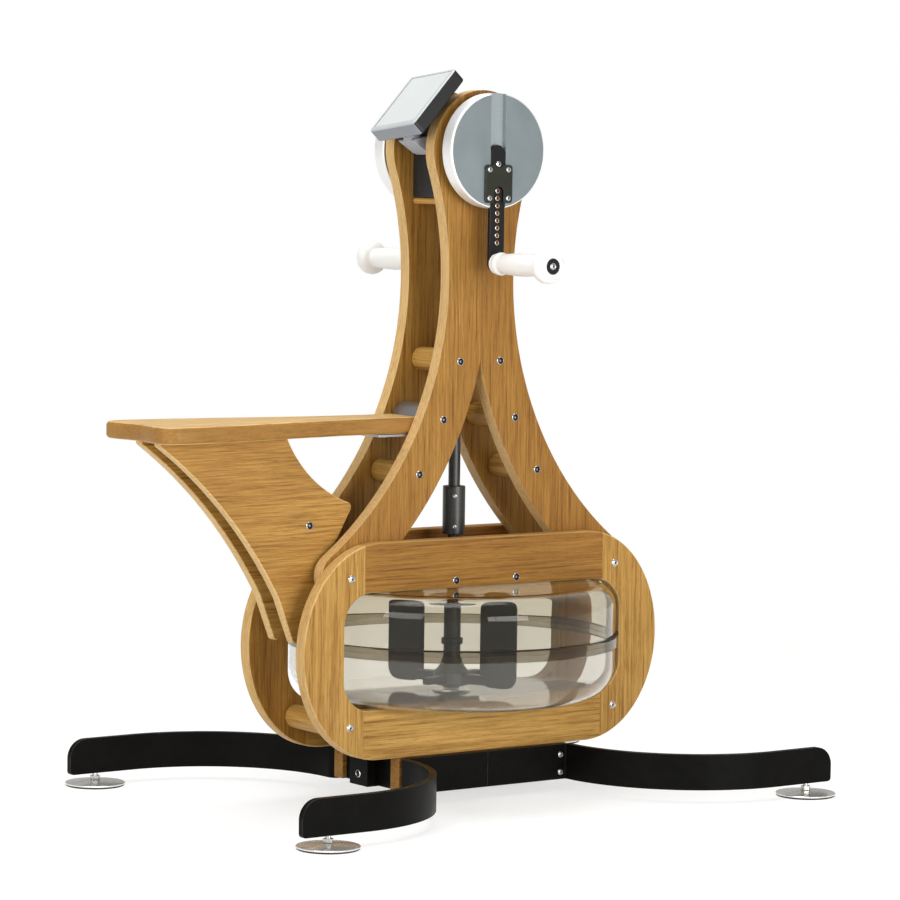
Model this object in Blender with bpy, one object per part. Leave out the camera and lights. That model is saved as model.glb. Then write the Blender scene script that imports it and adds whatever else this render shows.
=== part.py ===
"""Water grinder ergometer: an upright arm-crank trainer with a water tank.

Two oak side panels carry a crank at the top. Bevel gears turn an upright
shaft, which drives a paddle in a clear round tank held by two oak rings.
A narrow seat hooks onto the frame, and four curved steel legs stand on
levelling feet. Units are metres, +Z is up. The model is drawn with X = 0
and Y = 0 on the upright shaft, and an empty moves it so that the origin
is under the middle of the whole machine. The user sits towards -X.
"""
import math

import bmesh
import bpy
from mathutils import Matrix, Vector

# Clearances
FIT = 0.0003
SHAFT_PLAY = 0.0005
SIDES = {"front": -1, "back": 1}
ENDS = {"left": -1, "right": 1}

# Round pieces are turned with these numbers of sides
SEG_SMALL = 20
SEG_DISC = 40
SEG_TANK = 40

# Side panels, each two boards glued along the middle
PANEL_INNER_Y = 0.0416
PANEL_THICKNESS = 0.022
PANEL_OUTER_Y = PANEL_INNER_Y + PANEL_THICKNESS
CRANK_Z = 0.9808
HEAD_RADIUS = 0.091
WAIST_Z = 0.790
WAIST_RADIUS = 0.510
NOTCH_RADIUS = 0.575
NOTCH_APEX_Z = 0.664

# Oak rings that hold the tank
RING_THICKNESS = 0.0229
RING_INNER_Y = PANEL_OUTER_Y + FIT
RING_OUTER_Y = RING_INNER_Y + RING_THICKNESS
RING_BOTTOM_Z = 0.0736
RING_HEIGHT = 0.3254
RING_LENGTH = 0.660
RING_TANK_CLEARANCE = 0.0101
RING_END_DEPTH = 0.136
RING_RAIL_HEIGHT = 0.0748
RING_CORNER_RADIUS = 0.048
RING_JOINT_INSET = 0.035
RING_MIDDLE_Z = RING_BOTTOM_Z + RING_HEIGHT / 2

# Bolts through the rings, and the dowels on them
RING_BOLT_X = 0.2463
RING_BOLT_RISE = 0.1108

# Dowels between the side panels
DOWEL_RADIUS = 0.018
DOWEL_UPPER = (0.0372, 0.6637)
DOWEL_MIDDLE = (0.0670, 0.5766)
DOWEL_LOWER = (0.1101, 0.4955)

# Base: oak rails, a welded steel frame between them, and bent steel legs
RAIL_BOTTOM_Z = 0.022
RAIL_LENGTH = 0.314
LEG_THICKNESS = 0.010
LEG_BOTTOM_Z = 0.019
LEG_TOP_Z = RING_BOTTOM_Z - FIT
LEG_ROOT_X = 0.154
LEG_BEND_RADIUS = 0.008
LEG_SWEEP_RADIUS = 0.222
LEG_REACH_X = 0.488
LEG_END_TOP_RADIUS = 0.029
LEG_END_BOTTOM_RADIUS = 0.006
BEAM_HALF_WIDTH = 0.024
BEAM_OVERHANG = 0.006
BEAM_WALL = 0.003
END_PLATE_THICKNESS = 0.008
CROSS_BAR_INSET = 0.011
CROSS_BAR_THICKNESS = 0.008

# Levelling feet
FOOT_INSET = 0.0465
FOOT_RADIUS = 0.046
FOOT_PLATE_HEIGHT = 0.0085
FOOT_PLATE_SLOPE = 0.0035
FOOT_NUT_RADIUS = 0.0065
FOOT_NUT_TOP_Z = 0.0165
FOOT_STUD_RADIUS = 0.0035
FOOT_STUD_GRIP = 0.014
FOOT_TRAVEL = 0.012

# Tank
TANK_RADIUS = 0.250
TANK_WALL = 0.004
TANK_LOWER_CORNER = 0.050
TANK_UPPER_CORNER = 0.034
TANK_SEAM_RISE = 0.089
TANK_COLLAR_LIP = 0.005
TANK_COLLAR_HEIGHT = 0.018
TANK_BOSS_RADIUS = 0.014
TANK_BOSS_HEIGHT = 0.005

# Upright shaft, coupling and paddle
SHAFT_RADIUS = 0.009
COUPLING_RADIUS = 0.01725
COUPLING_RISE = 0.0485
COUPLING_LENGTH = 0.074
PADDLE_SHAFT_RADIUS = 0.013
PADDLE_DISC_RADIUS = 0.036
PADDLE_DISC_THICKNESS = 0.003
PADDLE_DISC_DROP = 0.026
PADDLE_ANGLE = math.radians(-70)
BLADE_INNER_RADIUS = 0.053
BLADE_OUTER_RADIUS = 0.118
BLADE_THICKNESS = 0.006
BLADE_FLOOR_GAP = 0.011
BLADE_LID_GAP = 0.011
BLADE_CORNER = 0.018
BLADE_OVERLAP = 0.013
PADDLE_HUB_RADIUS = 0.028
PADDLE_HUB_HEIGHT = 0.024
PADDLE_ARM_WIDTH = 0.018
PADDLE_ARM_HEIGHT = 0.014
STIR_ARM_LENGTH = 0.070
BRIDGE_HALF_LENGTH = 0.075
BRIDGE_HEIGHT = 0.023

# Gearbox between the panel heads
HOUSING_END_GAP = 0.007
HOUSING_BOTTOM_GAP = 0.0228
HOUSING_TOP_GAP = 0.0062
HOUSING_WALL = 0.004
SHELF_THICKNESS = 0.0095
SHELF_CORNER = 0.006
GEAR_TEETH = 24
PINION_TEETH = 12
GEAR_PITCH_RADIUS = 0.045
GEAR_ADDENDUM = 0.0025
GEAR_DEDENDUM = 0.0031
GEAR_FACE_SHARE = 0.68
GEAR_BACK_GAP = 0.0036
TOOTH_FOOT_SHARE = 0.36
TOOTH_TIP_SHARE = 0.106
PINION_HUB_RADIUS = 0.016

# Crank
CRANK_SHAFT_RADIUS = 0.010
BEARING_SLEEVE_RADIUS = 0.0177
BEARING_FLANGE_RADIUS = 0.030
BEARING_FLANGE_THICKNESS = 0.0106
DISC_RADIUS = 0.0865
DISC_BEARING_GAP = 0.0014
DISC_THICKNESS = 0.0254
DISC_EDGE = 0.002
GROOVE_CLEARANCE = 0.001
GROOVE_DEPTH = 0.007
ARM_WIDTH = 0.027
ARM_TOP_RISE = 0.0088
CRANK_RADIUS = 0.1689
ARM_HOLE_COUNT = 8
ARM_HOLE_PITCH = 0.0111
ARM_HOLE_RADIUS = 0.00275
ARM_FIRST_HOLE_RISE = 0.0314
STOP_RADIUS = 0.0047
PLATE_WIDTH = 0.050
PLATE_TOP_DROP = 0.0208
PLATE_HEIGHT = 0.057
PLATE_THICKNESS = 0.003
PLATE_DIP = 0.004
PLATE_SLOT_WIDTH = 0.018
PLATE_SLOT_LENGTH = 0.0246

# Grips
GRIP_RADIUS = 0.01775
GRIP_FLARE = 0.0085
GRIP_AXLE_RADIUS = 0.006
GRIP_PLAY = 0.0004
GRIP_LENGTH = 0.137
GRIP_PLATE_GAP = 0.0009
CAP_RADIUS = 0.0117
CAP_THICKNESS = 0.003

# Seat
SEAT_RISE = 0.004
SEAT_THICKNESS = 0.025
SEAT_END_X = -0.573
SEAT_END_DIP = 0.008
SEAT_HALF_WIDTH = 0.093
SEAT_CORNER = 0.028
SEAT_TAPER_INSET = 0.028
SEAT_TAPER_END_X = -0.163
SEAT_NECK_GAP = 0.0011
SEAT_EDGE = 0.007
SEAT_EDGE_PROFILE = 0.5
HOOK_THICKNESS = 0.004
HOOK_PANEL_GAP = 0.0036
HOOK_FLAT_LENGTH = 0.078
HOOK_LIP = 0.008
BRACKET_INNER_Y = 0.017
BRACKET_THICKNESS = 0.017
BRACKET_HEEL_INSET = 0.026
BRACKET_HEEL_HEIGHT = 0.006
BRACKET_HOLLOW = (-0.427, 0.441)
BRACKET_TIP = (-0.3205, 0.279)
BRACKET_FOOT_Z = 0.248
BRACKET_NOSE = (-0.2135, 0.4435)
BRACKET_SHOULDER = (-0.2155, 0.4555)
BRACKET_THROAT = (-0.2696, 0.484)
BRACKET_ROOT_X = -0.327

# Monitor, tilted back and turned a little on its hinge
MONITOR_WIDTH = 0.1165
MONITOR_HEIGHT = 0.1184
MONITOR_THICKNESS = 0.0235
MONITOR_CORNER = 0.006
MONITOR_PIVOT_REACH = 0.0394
MONITOR_PIVOT_Y = -0.0043
MONITOR_PIVOT_LIFT = 0.0281
MONITOR_YAW = 0.10
MONITOR_TILT = 0.772
MONITOR_ROLL = 0.143
MONITOR_BACK_REACH = 0.04625
MONITOR_PIVOT_DEPTH = 0.0088
MONITOR_PIVOT_RISE = 0.027
SCREEN_MARGIN = 0.005
SCREEN_DEPTH = 0.0015
EAR_INNER = 0.0115
EAR_THICKNESS = 0.006
BARREL_RADIUS = 0.008
BARREL_HALF_WIDTH = 0.0112
HINGE_PIN_RADIUS = 0.003
HINGE_PIN_HALF_LENGTH = 0.0172
BACK_BOX_HALF_WIDTH = 0.034
BACK_BOX_LOW = 0.016
BACK_BOX_HIGH = 0.072
BACK_BOX_DEPTH = 0.007
ARM_BODY_HALF_WIDTH = 0.020
ARM_BODY_DROP = 0.0352
ARM_NECK_HALF_WIDTH = 0.009

# Derived places
WAIST_CENTRE_X = math.sqrt((HEAD_RADIUS + WAIST_RADIUS) ** 2 - (CRANK_Z - WAIST_Z) ** 2)
NOTCH_CENTRE_X = math.sqrt(NOTCH_RADIUS ** 2 - (WAIST_Z - NOTCH_APEX_Z) ** 2)
BEARING_BORE = CRANK_SHAFT_RADIUS + FIT
BEARING_SEAT_RADIUS = BEARING_SLEEVE_RADIUS + FIT
TANK_COLLAR_RADIUS = TANK_RADIUS + TANK_COLLAR_LIP
TANK_CHORD = math.sqrt(TANK_COLLAR_RADIUS ** 2 - RING_INNER_Y ** 2)
OPENING_HALF_LENGTH = TANK_CHORD + RING_TANK_CLEARANCE
OPENING_HALF_HEIGHT = RING_HEIGHT / 2 - RING_RAIL_HEIGHT
RING_JOINT_X = OPENING_HALF_LENGTH - RING_JOINT_INSET
TANK_BOTTOM_Z = RING_MIDDLE_Z - OPENING_HALF_HEIGHT + FIT
TANK_HEIGHT = 2 * (OPENING_HALF_HEIGHT - FIT)
TANK_SEAM_Z = TANK_BOTTOM_Z + TANK_SEAM_RISE
TANK_TOP_Z = TANK_BOTTOM_Z + TANK_HEIGHT
BRIDGE_BOTTOM_Z = RING_MIDDLE_Z + OPENING_HALF_HEIGHT + FIT
COUPLING_BOTTOM_Z = BRIDGE_BOTTOM_Z + BRIDGE_HEIGHT + COUPLING_RISE
COUPLING_TOP_Z = COUPLING_BOTTOM_Z + COUPLING_LENGTH
BEAM_HALF_LENGTH = RAIL_LENGTH / 2 + BEAM_OVERHANG
CROSS_BAR_X = RAIL_LENGTH / 2 - CROSS_BAR_INSET
FOOT_X = LEG_REACH_X - FOOT_INSET
FOOT_STUD_TOP_Z = LEG_BOTTOM_Z + FOOT_TRAVEL + FOOT_STUD_GRIP
LEG_ROOT_Y = RING_OUTER_Y + FIT + LEG_THICKNESS / 2
LEG_SWEEP_START_Y = LEG_ROOT_Y + LEG_BEND_RADIUS
LEG_TIP_Y = LEG_SWEEP_START_Y + LEG_SWEEP_RADIUS
HOUSING_HALF_LENGTH = GEAR_PITCH_RADIUS + HOUSING_END_GAP + HOUSING_WALL
HOUSING_BOTTOM_Z = CRANK_Z - GEAR_PITCH_RADIUS - HOUSING_BOTTOM_GAP - HOUSING_WALL
HOUSING_TOP_Z = CRANK_Z + GEAR_PITCH_RADIUS + HOUSING_TOP_GAP + HOUSING_WALL
GEAR_BACK_Y = PANEL_INNER_Y - HOUSING_WALL - GEAR_BACK_GAP
DISC_BACK_Y = PANEL_OUTER_Y + FIT + BEARING_FLANGE_THICKNESS + DISC_BEARING_GAP + FIT
DISC_FACE_Y = DISC_BACK_Y + DISC_THICKNESS
GROOVE_WIDTH = ARM_WIDTH + GROOVE_CLEARANCE
ARM_TOP_Z = CRANK_Z + ARM_TOP_RISE
PLATE_TOP_Z = CRANK_Z - PLATE_TOP_DROP
PLATE_BOTTOM_Z = PLATE_TOP_Z - PLATE_HEIGHT
PLATE_SLOT_TOP_Z = PLATE_BOTTOM_Z + PLATE_SLOT_LENGTH
HANDLE_Z = CRANK_Z - CRANK_RADIUS
PLATE_BACK_Y = DISC_FACE_Y + FIT
PLATE_FACE_Y = PLATE_BACK_Y + PLATE_THICKNESS
ARM_BACK_Y = DISC_FACE_Y - GROOVE_DEPTH + FIT
ARM_FACE_Y = DISC_FACE_Y - FIT
GRIP_START_Y = PLATE_FACE_Y + GRIP_PLATE_GAP
GRIP_END_Y = GRIP_START_Y + GRIP_LENGTH
GRIP_FLANGE_RADIUS = GRIP_RADIUS + GRIP_FLARE
GRIP_BORE_RADIUS = GRIP_AXLE_RADIUS + GRIP_PLAY
STOP_Z = PLATE_TOP_Z - PLATE_DIP + STOP_RADIUS + FIT
SHAFT_SPLIT_Z = (COUPLING_BOTTOM_Z + COUPLING_TOP_Z) / 2
SEAT_TOP_Z = DOWEL_MIDDLE[1] + SEAT_RISE
SEAT_TAPER_START_X = SEAT_END_X + SEAT_TAPER_INSET
SEAT_NECK_HALF_WIDTH = PANEL_INNER_Y - SEAT_NECK_GAP
HOOK_HALF_WIDTH = PANEL_INNER_Y - HOOK_PANEL_GAP
MONITOR_SIDE_SHIFT = MONITOR_WIDTH / 2 - MONITOR_BACK_REACH
MONITOR_PIVOT = (-HOUSING_HALF_LENGTH - MONITOR_PIVOT_REACH, MONITOR_PIVOT_Y,
                 CRANK_Z + MONITOR_PIVOT_LIFT)
SEAT_HOOK_X = -DOWEL_MIDDLE[0] - DOWEL_RADIUS - FIT - HOOK_THICKNESS
ASSEMBLY_SHIFT = -(SEAT_END_X + max(LEG_REACH_X, FOOT_X + FOOT_RADIUS)) / 2

FINISHES = {
    "oak": ((0.50, 0.27, 0.09), 0.5, 0.0),
    "black_steel": ((0.02, 0.02, 0.02), 0.45, 0.2),
    "chrome": ((0.80, 0.80, 0.80), 0.12, 1.0),
    "satin_aluminium": ((0.52, 0.57, 0.59), 0.3, 0.9),
    "dark_plate": ((0.12, 0.12, 0.10), 0.35, 0.7),
    "white_plastic": ((0.85, 0.84, 0.80), 0.4, 0.0),
    "clear_tank": ((0.55, 0.50, 0.46), 0.05, 0.0),
    "dark_plastic": ((0.05, 0.05, 0.055), 0.5, 0.0),
    "screen": ((0.70, 0.74, 0.73), 0.2, 0.0),
    "grey_plastic": ((0.35, 0.37, 0.39), 0.45, 0.0),
    "shaft_steel": ((0.20, 0.20, 0.20), 0.35, 0.9),
}


def clear_scene():
    for existing in list(bpy.data.objects):
        bpy.data.objects.remove(existing, do_unlink=True)


def make_material(name, finish):
    colour, roughness, metallic = FINISHES[finish]
    material = bpy.data.materials.new(name)
    material.use_nodes = True
    shader = material.node_tree.nodes["Principled BSDF"]
    shader.inputs["Base Color"].default_value = (*colour, 1.0)
    shader.inputs["Roughness"].default_value = roughness
    shader.inputs["Metallic"].default_value = metallic
    return material


def mesh_object(name, bm, origin=(0.0, 0.0, 0.0)):
    """Turn a bmesh drawn in the assembly's frame into an object at origin."""
    bmesh.ops.recalc_face_normals(bm, faces=bm.faces)
    bmesh.ops.translate(bm, verts=bm.verts, vec=-Vector(origin))
    mesh = bpy.data.meshes.new(name)
    bm.to_mesh(mesh)
    bm.free()
    mesh.shade_smooth()
    mesh.set_sharp_from_angle(angle=math.radians(32))
    created = bpy.data.objects.new(name, mesh)
    bpy.context.scene.collection.objects.link(created)
    created.location = origin
    created.parent = assembly
    return created


def add_piece(name, bm, finish, origin=(0.0, 0.0, 0.0)):
    piece = mesh_object(name, bm, origin)
    piece.data.materials.append(make_material(name, finish))
    return piece


def combine(piece, bm, operation):
    """Cut a guide shape from a piece or fuse it to the piece."""
    guide = mesh_object(piece.name + "_guide", bm)
    guide.hide_render = True
    guide.display_type = "WIRE"
    modifier = piece.modifiers.new(operation.title(), "BOOLEAN")
    modifier.operation = operation
    modifier.solver = "EXACT"
    modifier.object = guide


def cut(piece, bm):
    combine(piece, bm, "DIFFERENCE")


def fuse(piece, bm):
    combine(piece, bm, "UNION")


def prism(outline, place_low, place_high):
    """Closed solid between an outline's two placed copies."""
    bm = bmesh.new()
    low = [bm.verts.new(place_low(u, v)) for u, v in outline]
    high = [bm.verts.new(place_high(u, v)) for u, v in outline]
    bm.faces.new(low)
    bm.faces.new(list(reversed(high)))
    count = len(outline)
    for index in range(count):
        following = (index + 1) % count
        bm.faces.new((low[following], low[index], high[index], high[following]))
    return bm


def slab_xz(outline, y_low, y_high):
    """Board with an outline in X and Z, between two values of Y."""
    return prism(outline, lambda x, z: (x, y_low, z), lambda x, z: (x, y_high, z))


def slab_xy(outline, z_low, z_high):
    """Board with an outline in X and Y, between two heights."""
    return prism(outline, lambda x, y: (x, y, z_low), lambda x, y: (x, y, z_high))


def block(x_range, y_range, z_range):
    (x0, x1), (y0, y1) = x_range, y_range
    return slab_xy([(x0, y0), (x1, y0), (x1, y1), (x0, y1)], *z_range)


def turned(profile, segments, place, closed=True):
    """Turn a profile of (radius, height) about an axis; place gives each point.

    A closed profile is a loop clear of the axis. An open one starts and ends
    on the axis.
    """
    bm = bmesh.new()
    rings = []
    for radius, height in profile:
        if radius == 0.0:
            rings.append([bm.verts.new(place(0.0, 0.0, height))])
            continue
        ring = []
        for step in range(segments):
            angle = 2 * math.pi * step / segments
            ring.append(bm.verts.new(place(radius * math.cos(angle), radius * math.sin(angle), height)))
        rings.append(ring)
    pairs = list(zip(rings, rings[1:]))
    if closed:
        pairs.append((rings[-1], rings[0]))
    for first, second in pairs:
        for step in range(segments):
            following = (step + 1) % segments
            if len(first) == 1:
                bm.faces.new((first[0], second[following], second[step]))
            elif len(second) == 1:
                bm.faces.new((first[step], first[following], second[0]))
            else:
                bm.faces.new((first[step], first[following], second[following], second[step]))
    return bm


def upright(x=0.0, y=0.0):
    """Axis for turned(): heights are Z, about a line at x, y."""
    return lambda u, v, height: (x + u, y + v, height)


def crosswise(side, x=0.0, z=0.0):
    """Axis for turned(): heights run out along Y on one side, about x, z."""
    return lambda u, v, height: (x + u, side * height, z + v)


def rod(radius, low, high, segments, place):
    profile = [(0.0, low), (radius, low), (radius, high), (0.0, high)]
    return turned(profile, segments, place, closed=False)


def arc(centre, radius, start, end, steps):
    """Points on an arc from the start angle to the end angle, both included."""
    points = []
    for step in range(steps + 1):
        angle = start + (end - start) * step / steps
        points.append((centre[0] + radius * math.cos(angle), centre[1] + radius * math.sin(angle)))
    return points


def arc_through(first, middle, last, steps):
    """Points on the circle through three points, from the first to the last."""
    ax, ay = first
    bx, by = middle
    cx, cy = last
    double_area = 2 * (ax * (by - cy) + bx * (cy - ay) + cx * (ay - by))
    a2, b2, c2 = ax * ax + ay * ay, bx * bx + by * by, cx * cx + cy * cy
    ux = (a2 * (by - cy) + b2 * (cy - ay) + c2 * (ay - by)) / double_area
    uy = (a2 * (cx - bx) + b2 * (ax - cx) + c2 * (bx - ax)) / double_area
    start = math.atan2(ay - uy, ax - ux)
    end = math.atan2(cy - uy, cx - ux)
    turn = (end - start + math.pi) % (2 * math.pi) - math.pi
    return arc((ux, uy), math.hypot(ax - ux, ay - uy), start, start + turn, steps)


def mirrored(outline, sign):
    if sign > 0:
        return outline
    return [(-u, v) for u, v in reversed(outline)]


def span_y(side, inner, outer):
    """Two values of Y in rising order, on one side of the middle."""
    return tuple(sorted((side * inner, side * outer)))


def panel_outline():
    """Right half of a side panel, from the seam round the head and the leg."""
    seam_x = FIT / 2
    head_top = math.acos(seam_x / HEAD_RADIUS)
    head_low = math.atan2(WAIST_Z - CRANK_Z, WAIST_CENTRE_X)
    outline = arc((0.0, CRANK_Z), HEAD_RADIUS, head_top, head_low, 12)
    bolt_z = RING_MIDDLE_Z + RING_BOLT_RISE
    foot_turn = math.atan2(bolt_z - WAIST_Z, RING_BOLT_X - WAIST_CENTRE_X) % (2 * math.pi)
    waist_start = head_low + math.pi
    waist = arc((WAIST_CENTRE_X, WAIST_Z), WAIST_RADIUS, waist_start, foot_turn, 14)
    notch_turn = math.atan2(bolt_z - WAIST_Z, RING_BOLT_X - NOTCH_CENTRE_X) % (2 * math.pi)
    notch_top = math.pi + math.asin((WAIST_Z - NOTCH_APEX_Z) / NOTCH_RADIUS)
    notch = arc((NOTCH_CENTRE_X, WAIST_Z), NOTCH_RADIUS, notch_turn, notch_top, 14)
    outer_foot, inner_foot = Vector(waist[-1]), Vector(notch[0])
    foot_centre = (outer_foot + inner_foot) / 2
    across = outer_foot - foot_centre
    foot_start = math.atan2(across.y, across.x)
    foot = arc(foot_centre, across.length, foot_start, foot_start - math.pi, 10)
    outline += waist[1:] + foot[1:-1] + notch[:-1]
    outline.append((seam_x, NOTCH_APEX_Z))
    return outline


def make_side_panels():
    for side_name, side in SIDES.items():
        y_low, y_high = span_y(side, PANEL_INNER_Y, PANEL_OUTER_Y)
        for end_name, end in ENDS.items():
            board = slab_xz(mirrored(panel_outline(), end), y_low, y_high)
            panel = add_piece(f"side_panel_{side_name}_{end_name}", board, "oak")
            reach = PANEL_THICKNESS / 2
            bore = rod(BEARING_SEAT_RADIUS, PANEL_INNER_Y - reach, PANEL_OUTER_Y + reach,
                       SEG_SMALL, crosswise(side, 0.0, CRANK_Z))
            cut(panel, bore)


def ring_half_height(x):
    """Half of the ring's outer height at a distance from its middle."""
    past = max(0.0, abs(x) - (RING_LENGTH / 2 - RING_END_DEPTH))
    return RING_HEIGHT / 2 * math.sqrt(max(0.0, 1 - (past / RING_END_DEPTH) ** 2))


def opening_half_height(x):
    """Half of the ring's opening at a distance from its middle."""
    past = max(0.0, abs(x) - (OPENING_HALF_LENGTH - RING_CORNER_RADIUS))
    return OPENING_HALF_HEIGHT - RING_CORNER_RADIUS + math.sqrt(RING_CORNER_RADIUS ** 2 - past ** 2)


def rail_outline(sign):
    """Top (sign 1) or bottom (sign -1) rail of a ring."""
    joint = RING_JOINT_X - FIT / 2
    bend = RING_LENGTH / 2 - RING_END_DEPTH
    corner = OPENING_HALF_LENGTH - RING_CORNER_RADIUS
    outer_x = [-joint, joint]
    if bend < joint:
        outer_x = [-joint, -(joint + bend) / 2, -bend, bend, (joint + bend) / 2, joint]
    inner_x = [joint, (joint + corner) / 2, corner, -corner, -(joint + corner) / 2, -joint]
    outline = [(x, RING_MIDDLE_Z + sign * ring_half_height(x)) for x in outer_x]
    outline += [(x, RING_MIDDLE_Z + sign * opening_half_height(x)) for x in inner_x]
    return outline


def ring_end_outline():
    """Right end block of a ring."""
    joint = RING_JOINT_X + FIT / 2
    bend = RING_LENGTH / 2 - RING_END_DEPTH
    corner_x = OPENING_HALF_LENGTH - RING_CORNER_RADIUS
    corner_rise = OPENING_HALF_HEIGHT - RING_CORNER_RADIUS
    outer_turn = math.acos(max(0.0, joint - bend) / RING_END_DEPTH)
    inner_turn = math.acos((joint - corner_x) / RING_CORNER_RADIUS)
    top, bottom = RING_MIDDLE_Z + RING_HEIGHT / 2, RING_MIDDLE_Z - RING_HEIGHT / 2
    outline = [(joint, top)] if bend > joint else []
    for step in range(21):
        angle = outer_turn - 2 * outer_turn * step / 20
        outline.append((bend + RING_END_DEPTH * math.cos(angle),
                        RING_MIDDLE_Z + RING_HEIGHT / 2 * math.sin(angle)))
    if bend > joint:
        outline.append((joint, bottom))
    lower = (corner_x, RING_MIDDLE_Z - corner_rise)
    upper = (corner_x, RING_MIDDLE_Z + corner_rise)
    outline += arc(lower, RING_CORNER_RADIUS, -inner_turn, 0.0, 6)
    outline += arc(upper, RING_CORNER_RADIUS, 0.0, inner_turn, 6)
    return outline


def make_rings():
    for side_name, side in SIDES.items():
        y_range = span_y(side, RING_INNER_Y, RING_OUTER_Y)
        add_piece(f"ring_top_rail_{side_name}", slab_xz(rail_outline(1), *y_range), "oak")
        add_piece(f"ring_bottom_rail_{side_name}", slab_xz(rail_outline(-1), *y_range), "oak")
        for end_name, end in ENDS.items():
            outline = mirrored(ring_end_outline(), end)
            add_piece(f"ring_{end_name}_end_{side_name}", slab_xz(outline, *y_range), "oak")


def make_dowels():
    """Round oak spacers between the panels, and between the rings."""
    half_length = PANEL_INNER_Y - FIT
    places = {"upper": DOWEL_UPPER, "middle": DOWEL_MIDDLE, "lower": DOWEL_LOWER,
              "foot": (RING_BOLT_X, RING_MIDDLE_Z + RING_BOLT_RISE)}
    for end_name, end in ENDS.items():
        for place_name, (x, z) in places.items():
            shape = rod(DOWEL_RADIUS, -half_length, half_length, SEG_SMALL, crosswise(1, end * x, z))
            add_piece(f"panel_dowel_{place_name}_{end_name}", shape, "oak")
        reach = RING_INNER_Y - FIT
        low_z = RING_MIDDLE_Z - RING_BOLT_RISE
        shape = rod(DOWEL_RADIUS, -reach, reach, SEG_SMALL, crosswise(1, end * RING_BOLT_X, low_z))
        add_piece(f"ring_dowel_{end_name}", shape, "oak")


def leg_stations():
    """Centreline points, side directions and distances left to the leg's end."""
    bend_centre = Vector((LEG_ROOT_X - LEG_BEND_RADIUS, LEG_SWEEP_START_Y))
    sweep_centre = Vector((LEG_ROOT_X + LEG_SWEEP_RADIUS, LEG_SWEEP_START_Y))
    stations = [(Vector((FIT / 2, LEG_ROOT_Y)), Vector((0.0, 1.0)), 1.0)]
    for step in range(5):
        angle = math.radians(-90 + 90 * step / 4)
        outward = Vector((math.cos(angle), math.sin(angle)))
        stations.append((bend_centre + LEG_BEND_RADIUS * outward, -outward, 1.0))
    for step in range(1, 15):
        angle = math.radians(180 - 90 * step / 14)
        outward = Vector((math.cos(angle), math.sin(angle)))
        stations.append((sweep_centre + LEG_SWEEP_RADIUS * outward, outward, 1.0))
    radius = LEG_END_TOP_RADIUS
    for angle in (90, 70, 50, 34, 20, 8, 0):
        left = radius * (1 - math.cos(math.radians(angle)))
        point = Vector((LEG_REACH_X - left, LEG_TIP_Y))
        stations.append((point, Vector((0.0, 1.0)), left))
    return stations


def leg_heights(left):
    """Lower and upper edge of the leg at a distance from its end."""
    top, bottom = LEG_END_TOP_RADIUS, LEG_END_BOTTOM_RADIUS
    z_high, z_low = LEG_TOP_Z, LEG_BOTTOM_Z
    if left < top:
        z_high -= top - math.sqrt(top ** 2 - (top - left) ** 2)
    if left < bottom:
        z_low += bottom - math.sqrt(bottom ** 2 - (bottom - left) ** 2)
    return z_low, z_high


def make_legs():
    half = LEG_THICKNESS / 2
    for side_name, side in SIDES.items():
        for end_name, end in ENDS.items():
            bm = bmesh.new()
            rows = []
            for point, across, left in leg_stations():
                z_low, z_high = leg_heights(left)
                near, far = point - across * half, point + across * half
                corners = ((near, z_low), (far, z_low), (far, z_high), (near, z_high))
                rows.append([bm.verts.new((end * spot.x, side * spot.y, z)) for spot, z in corners])
            bm.faces.new(rows[0])
            bm.faces.new(rows[-1])
            for first, second in zip(rows, rows[1:]):
                for corner in range(4):
                    following = (corner + 1) % 4
                    bm.faces.new((first[corner], first[following], second[following], second[corner]))
            leg = add_piece(f"leg_{side_name}_{end_name}", bm, "black_steel")
            hole = rod(FOOT_STUD_RADIUS + FIT, LEG_BOTTOM_Z - 0.01, FOOT_STUD_TOP_Z + 0.002, 12,
                       upright(end * FOOT_X, side * LEG_TIP_Y))
            cut(leg, hole)


def make_feet():
    """Chromed plates on studs that screw up into the legs."""
    plate = FOOT_PLATE_HEIGHT
    profile = [(0.0, 0.0), (FOOT_RADIUS, 0.0), (FOOT_RADIUS, plate - FOOT_PLATE_SLOPE),
               (FOOT_NUT_RADIUS, plate), (FOOT_NUT_RADIUS, FOOT_NUT_TOP_Z),
               (FOOT_STUD_RADIUS, FOOT_NUT_TOP_Z), (FOOT_STUD_RADIUS, FOOT_STUD_TOP_Z),
               (0.0, FOOT_STUD_TOP_Z)]
    for side_name, side in SIDES.items():
        for end_name, end in ENDS.items():
            x, y = end * FOOT_X, side * LEG_TIP_Y
            shape = turned(profile, SEG_SMALL, upright(x, y), closed=False)
            add_piece(f"foot_{side_name}_{end_name}", shape, "chrome", (x, y, 0.0))


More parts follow.
